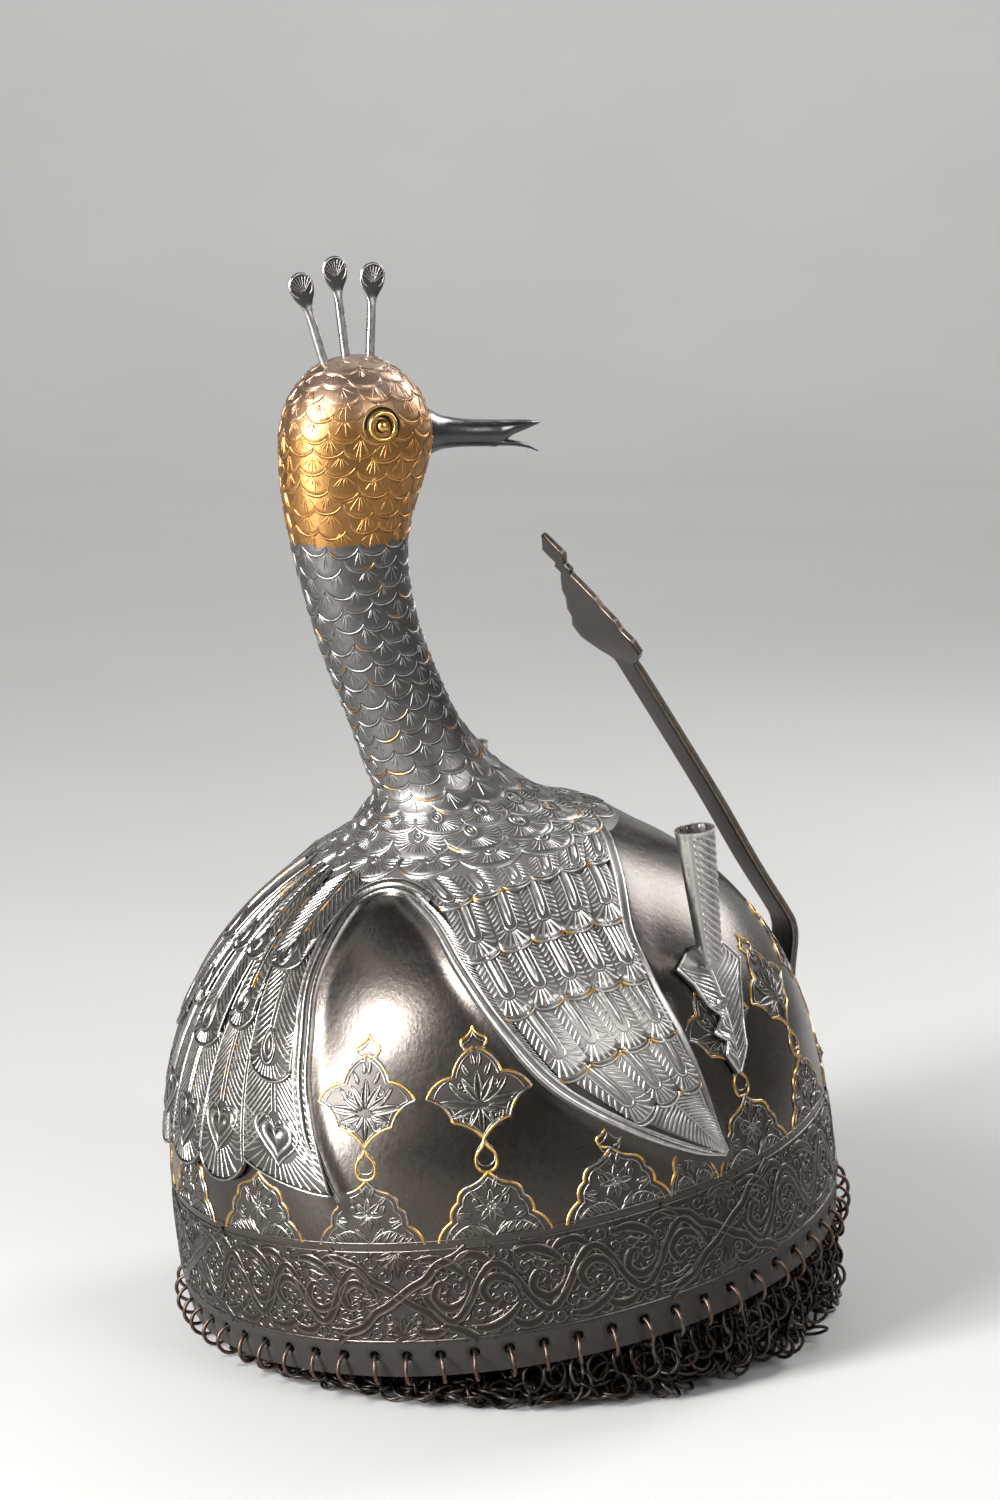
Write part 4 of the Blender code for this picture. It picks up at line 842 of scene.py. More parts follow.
# ---------------------------------------------------------------- band round the rim
BAND_MIDDLE, BAND_RISE = (BAND_FOOT + BAND_TOP) / 2, (BAND_TOP - BAND_FOOT) / 2
CROSSINGS = (20, 76, 132, 180, 228, 284, 340)  # angles
CROSSING_ARM = ((0, 0), (4.2, 3.0), (8.6, 5.4), (12.6, 9.6), (18.2, 11.8), (22, BAND_RISE))
CARTOUCHE_END, WAVE_LENGTH, WAVE_RISE = 8.0, 27, 8.6
CURL_PITCH, CURL_ROWS = 4.8, 6
SPLIT_LEAVES = (  # steps between points, and points about the middle of a bend that opens upwards
    (5, ((-6.5, -4.0), (-5.0, 1.6), (0.4, 4.4), (4.4, 1.0), (2.6, -3.6), (-0.8, -2.4))),
    (6, ((-6.0, -5.0), (-2.0, -9.2), (3.4, -11.6), (9.6, -11.2))),
    (6, ((0.4, 8.4), (4.6, 11.8), (9.4, 11.6), (12.6, 8.4))),
)
TENDRIL = (5, ((-4.0, -8.0), (-1.0, -6.6), (3.0, -8.0), (6.4, -7.0)))


def ground_of_curls(bag, centre, half):
    """Rows of small curls, each with two small leaves."""
    sprigs, curls = [], []
    for column, x in enumerate(np.arange(-half - 4, half + 4.1, CURL_PITCH)):
        for row, y in enumerate(np.linspace(-BAND_RISE + 3.0, BAND_RISE - 3.0, CURL_ROWS)):
            hand = 1 if (row + column) % 2 else -1
            x0, y0 = x + rng.uniform(-0.5, 0.5), y + rng.uniform(-0.3, 0.3)
            start = rng.uniform(-40, 40) + 90 * hand
            curls.append(spiral(x0, y0, 2.4, 1.15, start, hand, 10))
            sprigs += [(x0, y0 - hand * 1.2, start + hand * turn + 90, 3.4, 1.5) for turn in (20, 75)]
    leaves(bag, sprigs, centre, BAND_MIDDLE, 0.34, steps=5, profile=PLAIN_LEAF)
    bag.draw(curls, centre, BAND_MIDDLE, ridge(0.75, 0.34))


def cartouche(bag, start, end):
    """A waving stem with split leaves in each of its bends, on a ground of small curls."""
    centre = (start + end) / 2
    half = (end - start) / 2 * float(skull.per_degree(climb(BAND_MIDDLE))) - CARTOUCHE_END
    ground_of_curls(bag, centre, half)
    waves = max(int(round(half * 2 / WAVE_LENGTH)), 1)
    x = np.linspace(-half, half, waves * 18 + 1)
    stem = np.stack([x, WAVE_RISE * np.sin((x + half) / (2 * half) * waves * 2 * np.pi)], 1)
    bag.draw([stem], centre, BAND_MIDDLE, blade(3.2, 0.5), lift=0.1)

    def in_bends(lines):
        for k in range(2 * waves):
            place, way = (-half + (k + 0.5) * half / waves, 0), (1, -1 if k % 2 else 1)
            for steps, points in lines:
                yield spline(np.array(points) * way + place, steps)

    for line in in_bends(SPLIT_LEAVES):
        swollen = 0.3 + 0.7 * np.sin(np.pi * np.linspace(0.04, 0.96, len(line))) ** 0.8
        bag.draw([line], centre, BAND_MIDDLE, blade(3.8, 0.5), swollen, lift=0.1)
    bag.draw(in_bends([TENDRIL]), centre, BAND_MIDDLE, ridge(1.2, 0.5), taper(16, 0.4, 0.4))


def band(bag):
    """The band round the rim: its lines, its crossings and the scrolls between them."""
    for z, width in ((BAND_FOOT, 0.9), (BAND_TOP, 0.8), (BAND_LINE, 0.8)):
        bag.sweep(skull, np.linspace(0, 360, 385), climb(z), ridge(width, 0.34))
    arms = [spline(np.array(CROSSING_ARM) * (hand, way), 5) for hand in (1, -1) for way in (1, -1)]
    bag.draw(arms, CROSSINGS, BAND_MIDDLE, blade(3.5, 0.5), lift=0.1)
    for way in (1, -1):
        foot = way * (BAND_RISE - 0.6)
        fan = [(0, foot, 90 + way * (90 + a), 8.4 - abs(a) * 0.02, 2.8) for a in range(-75, 76, 25)]
        leaves(bag, fan, CROSSINGS, BAND_MIDDLE, 0.5)
        small = [(way * 6.4, up, way * (90 - 32 * up), 6.4, 2.2) for up in (-0.7, 0, 0.7)]
        leaves(bag, small, CROSSINGS, BAND_MIDDLE, 0.45)
    for start, end in zip(CROSSINGS, (*CROSSINGS[1:], CROSSINGS[0] + 360)):
        cartouche(bag, start, end)


# ---------------------------------------------------------------- skull and rim
CELL = 6  # faces along a side of each hole's cell
# how far the ground is darkened: over the band and the rim strip as painted shade, in the medallions with
# dirt
BAND_SHADE, MEDALLION_DIRT, RIM_SHADE = 0.85, 0.4, 0.7
SWELL, REAR_SWELL, UNDER_WING = 1.9, 1.1, 1.0  # how far the plain metal is drawn up
SWELL_SOFT, REAR_SOFT = 2.6, 2.6  # how far from the plumage that dies away
SPREAD, SPREAD_FROM, SPREAD_OVER = 6.5, 84.0, 45  # how much softer it gets upwards
BREAST_FOOT, BREAST_FROM, BREAST_FULL, BREAST_SIDE = 131.0, 132.0, 140.5, 50  # heights and an angle
OUTSIDE_TOP, INSIDE_TOP = 37.0, 31.0  # radii where the skull's skins end under the neck


def beside(a, s, line):
    """Distance in mm from places on the skull to a line of places."""
    p = skull.at(a, s).reshape(-1, 3)
    best = np.full(len(p), np.inf)
    for point in skull.at(*line):
        best = np.minimum(best, ((p - point) ** 2).sum(1))
    return np.sqrt(best).reshape(a.shape)


def crossed_at(s, line):
    """The angle where a line that runs down the skull passes a distance along, or -1 past its ends."""
    angle, along = line
    order = np.argsort(along)
    return np.interp(s, along[order], angle[order], left=-1, right=-1)


def swell(a, s):
    """How far the plain metal is drawn up beside the plumage and under it."""
    a = np.where(a > 180, 360 - a, a)
    front, rear, tail_front = border_line(1, 0, 150), border_line(1, 1, 150), tail_border_line(1, 150)
    soft = SWELL_SOFT + SPREAD * smooth((s - climb(SPREAD_FROM)) / SPREAD_OVER)
    lift = SWELL * bell(beside(a, s, front), soft)
    for line in (rear, tail_front):
        lift = np.maximum(lift, REAR_SWELL * bell(beside(a, s, line), REAR_SOFT))
    low, high = climb(BREAST_FOOT), climb(BREAST_FULL)
    breast = (a < BREAST_SIDE) & (s > climb(BREAST_FROM))
    lift = np.where(breast, np.maximum(lift, SWELL * smooth((s - low) / (high - low))), lift)
    low, high = crossed_at(s, front), crossed_at(s, rear)
    return np.where((a > low) & (a < high) & (low > 0), UNDER_WING, lift)


def ground(a, z):
    """How dark the ground is round the chased lines: with dirt inside the medallions, and with painted shade
    over the band.
    """
    ground_dirt_and_shade = ((z > BAND_FOOT) & (z < BAND_TOP)) * BAND_SHADE
    per = skull.per_degree(climb(z))
    for places, arcs, level, shrink in ((MEDALLIONS, MEDALLION, MEDALLION_LEVEL, 1.0),
                                        (LOWER_HALVES, LOWER_HALF, LOWER_LEVEL, 1.0),
                                        (SMALL_HALVES, LOWER_HALF, LOWER_LEVEL, SMALL)):
        x, y = np.concatenate([arc(*row[:3]) for row in arcs]).T
        order = np.argsort(y)
        half = np.interp(z - level, y[order], x[order], left=-1, right=-1) * shrink
        for place in places:
            off = np.abs((a - place + 180) % 360 - 180) * per
            ground_dirt_and_shade = np.maximum(ground_dirt_and_shade, MEDALLION_DIRT * smooth((half - off) / 1.6 + 0.3))
    return ground_dirt_and_shade


def skull_skin(bag):
    """The skull's outside above the shoulder, with a soft swell beside the plumage, and its inside."""
    foot = climb(SHOULDER)
    a, s = np.meshgrid(turns(HOLES * CELL), np.linspace(foot, climb(skull_height(OUTSIDE_TOP)), 104))
    level = np.interp(s, skull.along, SKULL_LEVELS)
    bag.patch(skull, a, s, swell(a, s), 0, -ground(a, level), wrap=True)
    a, s = np.meshgrid(turns(128), np.linspace(foot, climb(skull_height(INSIDE_TOP)), 34))
    inside, n = skull.at(a, s, -WALL), skull.normal(a, s)
    bag.grid(np.concatenate([inside, tip(inside)]), 0, -0.5, wrap=True, facing=-np.concatenate([n, n[-1:]]))


def rim(bag):
    """The strip below the shoulder, with a round hole in each of its cells."""
    step = 360 / HOLES
    per = float(skull.per_degree(climb(HOLE_HEIGHT)))
    side, one = np.linspace(-1, 1, CELL + 1)[:-1], np.ones(CELL)
    u, v = np.concatenate([side, one, -side, -one]), np.concatenate([-one, side, one, -side])
    x, y = u * step / 2 * per, np.where(v > 0, v * (SHOULDER - HOLE_HEIGHT), v * HOLE_HEIGHT)
    turn = np.arctan2(y, x)
    # rings of points from the hole's edge, which is rounded over, to the cell's own edge
    t, r, edge = np.array(((0, 0, 1), (0, 0.35, 0), (0.45, 0.35, 0), (1, 0.35, 0))).T[:, :, None]
    r = r + HOLE_RADIUS
    x, y = (1 - t) * r * np.cos(turn) + t * x, (1 - t) * r * np.sin(turn) + t * y
    a = ((np.arange(HOLES) + 0.5) * step)[:, None, None] + x / per
    s = climb(HOLE_HEIGHT + y)
    n = skull.normal(a, s)
    outside, inside = skull.at(a, s, -0.4 * edge), skull.at(a, s, 0.4 * edge - WALL)
    # the strip outside is darkened as painted shade, and darker still at each hole's edge
    bag.grid(outside, 0, -edge - RIM_SHADE, wrap=True, facing=n)
    bag.grid(inside, 0, -0.5, wrap=True, facing=-n)
    bag.grid(np.stack([outside[:, 0], inside[:, 0]], 1), 0, -1, wrap=True)
    bag.grid(np.stack([skull.at(turns(HOLES * CELL), 0, -depth) for depth in (0, WALL)]), 0, 0.5, wrap=True)


def skull_and_rim(bag):
    """The plain metal of the helmet."""
    skull_skin(bag)
    rim(bag)


# ---------------------------------------------------------------- rings
RIM_RING, RIM_WIRE, RIM_RING_DROP = 4.55, 0.62, 4.35


def tori(bag, centres, axes, radius, wire, worn, segments=14, sides=5):
    """Round rings about centres (M, 3), each square to its axis."""
    axes = axes / np.linalg.norm(axes, axis=1, keepdims=True)
    other = np.where(np.abs(axes[:, 2:3]) < 0.9, [[0, 0, 1.0]], [[1.0, 0, 0]])
    u = np.cross(axes, other)
    u /= np.linalg.norm(u, axis=1, keepdims=True)
    v = np.cross(axes, u)
    t, q = (np.radians(turns(count))[:, None] for count in (segments, sides))
    radius = np.broadcast_to(radius, len(centres))[:, None, None, None]
    out = u[:, None] * np.cos(t) + v[:, None] * np.sin(t)
    rings = (centres[:, None, None] + out[:, :, None] * (radius + wire * np.cos(q))
             + axes[:, None, None] * wire * np.sin(q))
    i, k = np.arange(segments)[:, None], np.arange(sides)[None, :]
    j, m = (i + 1) % segments, (k + 1) % sides
    faces = np.stack([i * sides + k, j * sides + k, j * sides + m, i * sides + m], 2)
    faces = faces[None] + (np.arange(len(centres)) * segments * sides)[:, None, None, None]
    bag.add(rings, faces, 0.0, worn)


def rim_rings(bag):
    """A butted ring through each hole, with small differences in how they hang."""
    a = (np.arange(HOLES) + 0.5) * 360 / HOLES
    along = climb(HOLE_HEIGHT)
    around = np.stack([-np.sin(np.radians(a)), -SIDE_RATIO * np.cos(np.radians(a)), 0 * a], 1)
    swing = np.radians(rng.uniform(-14, 14, HOLES))[:, None]
    axis = around * np.cos(swing) + skull.normal(a, along) * np.sin(swing)
    centre = skull.at(a, along, -WALL / 2) - (0, 0, RIM_RING_DROP)
    tori(bag, centre, axis, RIM_RING, RIM_WIRE, 0.3, 26, 8)


# ---------------------------------------------------------------- mail, in the world's frame
MAIL_SECTIONS = (  # az, outer radius, inner radius, fullness
    (0, 108, 74, .86), (25, 112.5, 75, .97), (50, 113.5, 76, .90), (75, 110, 77, .99),
    (100, 107, 78, .88), (125, 103.5, 79, .93), (150, 104, 80, .90), (180, 105, 80, .95),
    (210, 104, 80, .90), (235, 104.5, 79, .95), (260, 107, 78, .90), (285, 110, 77, .97),
    (310, 112, 76, .92), (335, 111.5, 75, .96), (360, 108, 74, .86),
)
MAIL_PARTS, RINGS_IN_PART, MAIL_WIRE = 4, 300, 0.6
MAIL_WORN = (-0.5, 0.8)
GATHERED_SIZES, FLAT_BELOW = (3.7, 4.3), 5.0  # rings with lower middles lie flatter
INNER_GAP, BOTH_GAPS = 6, 10.5  # the rings' middles keep this far inside the sections' radii
TOP_GAP, FLAT_CROWN, LOWEST_CROWN = 4.4, 0.72, 8.2
LOWEST, HEAP_GAPS = 3.4, 6.4
HUNG_FROM = 105  # the radius where the mail hangs from the edge
CURTAIN_ROWS, CURTAIN_STEP, CURTAIN_FOOT = 4, 3.6, 12
CURTAIN_RING, CURTAIN_RADIUS, CURTAIN_TOP, CURTAIN_PITCH = 4.0, 106.5, 5.2, 4.6


def edge_above(az):
    """The height of the helmet's edge, which leans back."""
    return EDGE_HEIGHT + HUNG_FROM * np.cos(np.radians(az)) * math.sin(TILT)


def ring_places(az, radius, height):
    """Middles of rings at angles, radii and heights."""
    turn = np.radians(az)
    return np.stack([FORWARD + radius * np.cos(turn), -SIDE_RATIO * radius * np.sin(turn), height], 1)


def gathered_mail(bag, start, end, count):
    """Rings that lie over and through each other in loose folds."""
    table = np.array(MAIL_SECTIONS)
    az = rng.uniform(start, end, count)
    outer, inner, full = (np.interp(az, table[:, 0], table[:, k]) for k in (1, 2, 3))
    top = (edge_above(az) - TOP_GAP) * full
    u = rng.uniform(0, 1, count) ** 0.75
    v = rng.uniform(0, 1, count)
    radius = inner + INNER_GAP + (outer - inner - BOTH_GAPS) * u
    crown = top * (FLAT_CROWN + (1 - FLAT_CROWN) * np.sin(np.pi * u))
    height = LOWEST + (np.maximum(crown, LOWEST_CROWN) - HEAP_GAPS) * v
    axis = rng.normal(0, 1, (count, 3))
    axis[height < FLAT_BELOW, 2] *= 4
    size = rng.uniform(*GATHERED_SIZES, count)
    axis /= np.linalg.norm(axis, axis=1, keepdims=True)
    reach = size * np.sqrt(1 - axis[:, 2] ** 2) + 0.75
    centre = ring_places(az, radius, np.maximum(height, reach))
    tori(bag, centre, axis, size, MAIL_WIRE, rng.uniform(*MAIL_WORN, (count, 1, 1)))


def mail_curtain(bag, start, end):
    """Rows of rings that hang from the rim's rings where the helmet stands clear of the gathered mail."""
    for row in range(CURTAIN_ROWS):
        az = np.arange(start, end, CURTAIN_STEP) + CURTAIN_STEP / 2 * (row % 2)
        height = edge_above(az) - CURTAIN_TOP - CURTAIN_PITCH * row
        az, height = az[height > CURTAIN_FOOT], height[height > CURTAIN_FOOT]
        count = len(az)
        if not count:
            break
        radius = CURTAIN_RADIUS - 0.8 * row + rng.uniform(-0.8, 0.8, count)
        centre = ring_places(az, radius, height + rng.uniform(-0.4, 0.4, count))
        c, s, none = np.cos(np.radians(az)), np.sin(np.radians(az)), 0 * az
        swing = np.radians(rng.uniform(25, 60, count) * (1 if row % 2 else -1))[:, None]
        out, around = np.stack([c, -s, none], 1), np.stack([-s, -c, none], 1)
        axis = out * np.cos(swing) + around * np.sin(swing) + (0, 0, 0.25)
        tori(bag, centre, axis, CURTAIN_RING, MAIL_WIRE, rng.uniform(*MAIL_WORN, (count, 1, 1)))


def mail(bag, start, end):
    """The part of the mail curtain between two angles."""
    gathered_mail(bag, start, end, RINGS_IN_PART)
    mail_curtain(bag, start, end)


# ---------------------------------------------------------------- eyes, beak and crest
EYE_CENTRE = (-15.0, 19.5, 279.0)
EYE_PROFILE = (  # radius, distance along the axis, worn
    (6.4, -1.6, -1), (6.35, 0.3, -0.8), (6.15, 0.7, -0.3), (5.95, 0.6, -0.5), (5.8, 0.0, -1.2),
    (5.05, 0.0, -1.2), (4.95, 0.6, -1), (4.85, 1.4, 0.2), (4.6, 1.9, 0.8), (4.2, 2.1, 1), (3.7, 2.0, 0.8),
    (3.4, 1.6, 0.2), (3.3, 0.7, -1.1), (3.2, 0.0, -1.2), (2.1, 0.0, -1.2), (2.0, 0.6, -1.1), (1.9, 1.3, 0.1),
    (1.5, 2.0, 0.8), (0.8, 2.4, 1), (0.02, 2.5, 1),
)
BEAK_ROOT, BEAK_DROP = (9.4, 271.0), math.radians(10)
UPPER_BEAK = (  # along, middle, half height, half width
    (-5, 0, 8.8, 8.6), (-2.5, 0, 8.0, 7.7), (-0.4, 0, 7.2, 6.8), (1.6, -0.1, 6.3, 5.9), (4, -0.2, 5.4, 5.1),
    (8, -0.3, 4.8, 4.4), (13, -0.5, 4.4, 4.0), (20, -0.6, 4.3, 3.7), (24, -0.6, 4.2, 3.4),
    (28.5, 1.0, 2.6, 3.1), (34, 2.0, 1.5, 2.0), (38.6, 2.6, 0.3, 0.5),
)
LOWER_BEAK = ((16, -2.6, 1.2, 2.2), (24, -3.4, 1.3, 2.7), (29.5, -3.9, 1.0, 2.4), (34.5, -4.9, 0.7, 1.5),
              (38.2, -6.4, 0.3, 0.5))
CREST = {  # x and z of a feather's foot and of its disc's centre
    "rear": (-22.3, 296, -26.8, 323.3),
    "middle": (-15.3, 299, -14.9, 326.4),
    "front": (-7.1, 298.8, -2.6, 322.4),
}
CREST_SHAPE = (  # distance below the disc's centre, half width, half thickness
    (99, 1.4, 1.4), (20, 1.4, 1.35), (13, 1.35, 1.3), (9.5, 1.3, 1.1), (7.6, 1.5, 0.9), (5.6, 2.3, 0.7),
    (3.6, 3.5, 0.6), (1.2, 4.15, 0.55), (-1.0, 4.1, 0.55), (-2.8, 3.2, 0.5), (-3.8, 1.8, 0.45),
    (-4.2, 0.3, 0.3),
)
CREST_ROOT = 5  # how far a crest feather goes into the head
DISC_RIM, RAY_FOOT = 3.8, 2.4


def lathe(bag, profile, origin, direction, sides):
    """A turned form; profile has rows of radius, distance along direction and worn."""
    z = np.array(direction, float) / np.linalg.norm(direction)
    x = np.cross((0, 0, 1), z)
    x /= np.linalg.norm(x)
    t = np.radians(turns(sides))[:, None]
    out = x * np.cos(t) + np.cross(z, x) * np.sin(t)
    radius, along, worn = np.array(profile).T[:, :, None]
    points = np.array(origin) + radius[..., None] * out + along[..., None] * z
    bag.grid(points, 0, worn, wrap=True, facing=out + 1e-3 * z)


def eye(bag, side):
    """A gilded boss with rings round it on one side of the head."""
    x, y, z = EYE_CENTRE
    lathe(bag, EYE_PROFILE, (x, -side * y, z), (0, -side, 0.03), 64)


def beak(bag):
    """The two parted halves of the beak."""
    t = np.radians(turns(32))
    c, d = math.cos(BEAK_DROP), math.sin(BEAK_DROP)
    out = np.stack([0 * t, np.sin(t), np.cos(t)], 1)
    for rows in (UPPER_BEAK, LOWER_BEAK):
        rows = spline(rows, 6)
        ahead, middle, high, wide = np.concatenate([rows, rows[-1:] * (1, 1, 0.02, 0.02)]).T[:, :, None]
        up = middle + high * np.cos(t)
        x, y, z = BEAK_ROOT[0] + ahead * c + up * d, wide * np.sin(t), BEAK_ROOT[1] - ahead * d + up * c
        # the top of each half is made lighter as painted highlight and its underside darker as painted shade
        bag.grid(np.stack([x, y, z], 2), 0, np.clip(0.8 * np.cos(t) ** 3, -0.6, 1), wrap=True, facing=out)


def crest_feather(bag, x0, z0, x1, z1):
    """A rod with a flattened round end that has rays and a rim on both of its faces."""
    long = math.hypot(x1 - x0, z1 - z0)
    up = np.array([x1 - x0, 0, z1 - z0]) / long
    wide, thick, centre = np.array([up[2], 0, -up[0]]), np.array([0, 1.0, 0]), np.array([x1, 0, z1])
    rows = spline([(min(below, long + CREST_ROOT), w, h) for below, w, h in CREST_SHAPE], 5)
    below, half, depth = rows.T[:, :, None]
    t = np.radians(turns(24))
    flat = np.sign(np.sin(t)) * np.abs(np.sin(t)) ** 0.7
    points = (centre - below[..., None] * up + (half * np.cos(t))[..., None] * wide
              + (depth * flat)[..., None] * thick)
    disc = smooth((7.0 - below) / 1.5)
    worn = (1 - disc) * 0.85 + disc * (1.9 * np.abs(np.cos(t)) ** 8 - 0.9)
    bag.grid(points, 0, worn, wrap=True, facing=np.cos(t)[:, None] * wide + np.sin(t)[:, None] * thick)
    r, q = np.linspace(0.3, 3.3, 4)[:, None] * 1.65, np.linspace(-2.6, 2.6, 13)[:, None]
    turn = (np.radians(np.arange(-80, 81, 20)) * 0.62)[:, None, None]
    for side in (-1, 1):
        foot = centre + side * 0.55 * thick - RAY_FOOT * up
        bag.lay(foot + r * (np.cos(turn) * up + np.sin(turn) * wide * 0.95), side * thick,
                ridge(0.34, 0.12, shine=0.6))
        rim_line = centre + side * 0.42 * thick + DISC_RIM * np.cos(q) * up + DISC_RIM * np.sin(q) * wide
        bag.lay(rim_line[None], side * thick, ridge(0.55, 0.2))


# ---------------------------------------------------------------- plume holders
PLUME_FOOT, PLUME_LENGTH = (44.0, 80.0, 104.5), 43.0
PLUME_RADII, PLUME_BORE, PLUME_SKIN = (3.5, 6.1), 5.1, 0.12
RIBS_AT, RIBS_HALF, RIBS_SOFT, RIB_RISE = 62, 62, 6, 0.26  # the first three are angles round the tube
RIB_PITCH, RIB_SLANT = 2.5, 4.2
SEAM_AT, SEAM_WIDTH, SEAM_DEPTH = 67, 4.5, 0.32
LIP_WIDTH, LIP_RISE = 0.9, 0.22
PLATE_TOP, PLATE_LIFT = 1.8, 0.25
PLATE_OUTLINE = (  # height, front az, rear az
    (107, 57.5, 66), (104, 53.5, 70.6), (98.5, 51.8, 68.7), (95, 55, 68.4), (91.5, 57, 67.8),
    (87.5, 59, 65.8), (84, 60.5, 69.2), (80.5, 61.5, 66.9), (77, 62.2, 68.4), (70.3, 66.2, 66.9),
)
PLATE_VEINS = (  # height on the spine, height at the edge, share of the way to the edge
    (74.0, 79.5, 0.8), (78.0, 84.0, 0.8), (82.0, 88.5, 0.8), (86.0, 92.5, 0.8), (89.5, 96.0, 0.85),
    (93.0, 99.5, 0.85), (96.0, 102.5, 0.85),
)


def plume_sleeve(bag, side):
    """The tube's skin: one half plain with a seam, and the outer half with slanting ribs."""
    z = np.linspace(1.2, PLUME_LENGTH, 110)[:, None]
    phi = np.radians(turns(72))
    off = np.abs((turns(72) - RIBS_AT + 180) % 360 - 180)
    ribbed = smooth((RIBS_HALF - off) / RIBS_SOFT + 0.5) * smooth(PLUME_LENGTH - 1.2 - z)
    wave = np.cos(2 * np.pi * (z - RIB_SLANT * phi) / RIB_PITCH)
    seam, lip = bell(off - SEAM_AT, SEAM_WIDTH), bell(PLUME_LENGTH - z, LIP_WIDTH)
    foot, mouth = PLUME_RADII
    r = foot + (mouth - foot) * z / PLUME_LENGTH + PLUME_SKIN
    r = r + ribbed * RIB_RISE * wave - SEAM_DEPTH * seam + LIP_RISE * lip

    def ring(radius, height):
        x, y, z = PLUME_FOOT
        return np.stack([x + radius * np.cos(phi), -side * (y + radius * np.sin(phi)),
                         z + height + 0 * phi], -1)

    points, out = ring(r, z), np.stack([np.cos(phi), -side * np.sin(phi), 0 * phi], 1)
    bag.grid(points, 0, np.clip(ribbed * wave - 1.1 * seam + lip, -1, 1), wrap=True, facing=out)
    edge, inside = ring(PLUME_BORE, PLUME_LENGTH), ring(PLUME_BORE - 0.15, PLUME_LENGTH - 1.5)
    worn = ((1,), (0.4,), (-1,))
    bag.grid(np.stack([points[-1], edge, inside]), 0, worn, wrap=True, facing=(0, 0, 1) - 0.1 * out)


def plate_edge(height, way):
    """The angle of a plume plate's front (-1) or rear (1) edge, or its spine (0), at a height."""
    z, front, rear = np.array(PLATE_OUTLINE)[::-1].T
    if way:
        return np.interp(height, z, front if way < 0 else rear)
    middle = (front + rear) / 2
    return np.interp(height, z[[0, -1]], middle[[0, -1]])


def plume_plate(bag, side):
    """The chased face of a plume holder's plate: a raised rim, a spine and pairs of long leaves."""
    z, u = np.linspace(PLATE_OUTLINE[-1][0] + 0.5, PLATE_OUTLINE[0][0] - 0.5, 60), unit(15)
    front, rear = plate_edge(z, -1)[:, None], plate_edge(z, 1)[:, None]
    pillow = PLATE_TOP + PLATE_LIFT * np.sin(np.pi * u) ** 0.5
    bag.patch(skull, side * (front * (1 - u) + rear * u), climb(z)[:, None], pillow, 0, -0.35)
    for way in (-1, 1):
        edge = plate_edge(z, way) - way * 0.35
        bag.sweep(skull, side * edge, climb(z), ridge(0.9, 0.45, 0.33), PLATE_TOP + 0.1)
    face = PLATE_TOP + PLATE_LIFT
    bag.sweep(skull, side * plate_edge(z, 0), climb(z), ridge(1.1, 0.7, 0.3), face, np.linspace(0.5, 1.0, 60))
    t, narrowed = unit(12), taper(12, 0.35, 0.3)
    for low, high, share in PLATE_VEINS:
        for way in (-1, 1):
            for offset, wide in ((0.0, 1.0), (1.5, 0.7)):
                height = low + offset + (high - low) * t ** 0.8
                spine = plate_edge(height, 0)
                place = spine + (plate_edge(height, way) - spine) * share * np.sin(t * np.pi / 2)
                bag.sweep(skull, side * place, climb(height), ridge(wide, 0.45, 0.3), face, narrowed)


def plume_holder(bag, side):
    """The skins of a plume holder's tube and plate."""
    plume_sleeve(bag, side)
    plume_plate(bag, side)


# ---------------------------------------------------------------- nasal bar
NASAL_SECTIONS = (  # x, z, half width, half thickness
    (121.2, 9.5, .8, .6), (119.4, 12.5, 3.6, 1), (117.6, 16.5, 7.4, 1.1), (115.4, 21, 6.2, 1.2),
    (113.1, 24.5, 4.8, 1.3), (113, 26.5, 6.9, 1.4), (113, 42, 6.9, 1.4), (112.1, 56, 6.9, 1.4),
    (112.1, 64.5, 6.9, 1.4), (113.6, 71.5, 6.9, 1.4), (115, 77.5, 6.9, 1.4), (115, 82.5, 6.9, 1.4),
    (113.1, 87.8, 6.9, 1.4), (103.8, 107, 6.9, 1.4), (91.9, 134.2, 6.9, 1.4), (72.8, 174.6, 6.9, 1.4),
    (68.2, 183.8, 6.9, 1.3), (66, 186.8, 14, 1.1), (63.4, 190.6, 21, 1), (61.1, 194.8, 21.5, 1),
    (59.3, 198.6, 17.2, 1), (57.8, 201.9, 16.8, 1), (55.7, 206.4, 12.2, 1), (54.3, 209.4, 11.4, 1),
    (52.1, 214.2, 6.4, 1), (50.8, 217, 2.9, 1), (49.9, 219, 5.4, 1), (49.1, 220.8, 2.7, 1),
    (47.2, 224.9, 7.2, 1), (44.4, 231, .6, .8),
)
NASAL_STEPS, NASAL_SIDES = 4, 48
FACE_SHARE = 0.36  # each face's share of the way round the bar
CHASED_FROM, CHASED_TO = 184.5, 226.0  # heights on the upper leaf
SCREW_PROFILE = (  # radius, distance from the bar's axis, worn
    (1.9, 114.6, -1), (1.9, 117.1, -1), (3.9, 117.2, -0.6), (4.2, 117.6, 0.8), (4.2, 120.6, 0.3),
    (4.0, 121.4, 0.9), (3.3, 122.3, 0.6), (1.6, 122.6, 0.2), (0.02, 122.6, 0.0),
)
SCREW_HEIGHT, SLOT_AT, SLOT_HALF = 33.2, 122.62, 3.2
SLOT = ((-0.6, 0, -1), (-0.35, 0.02, -1), (0.35, 0.02, -1), (0.6, 0, -1))


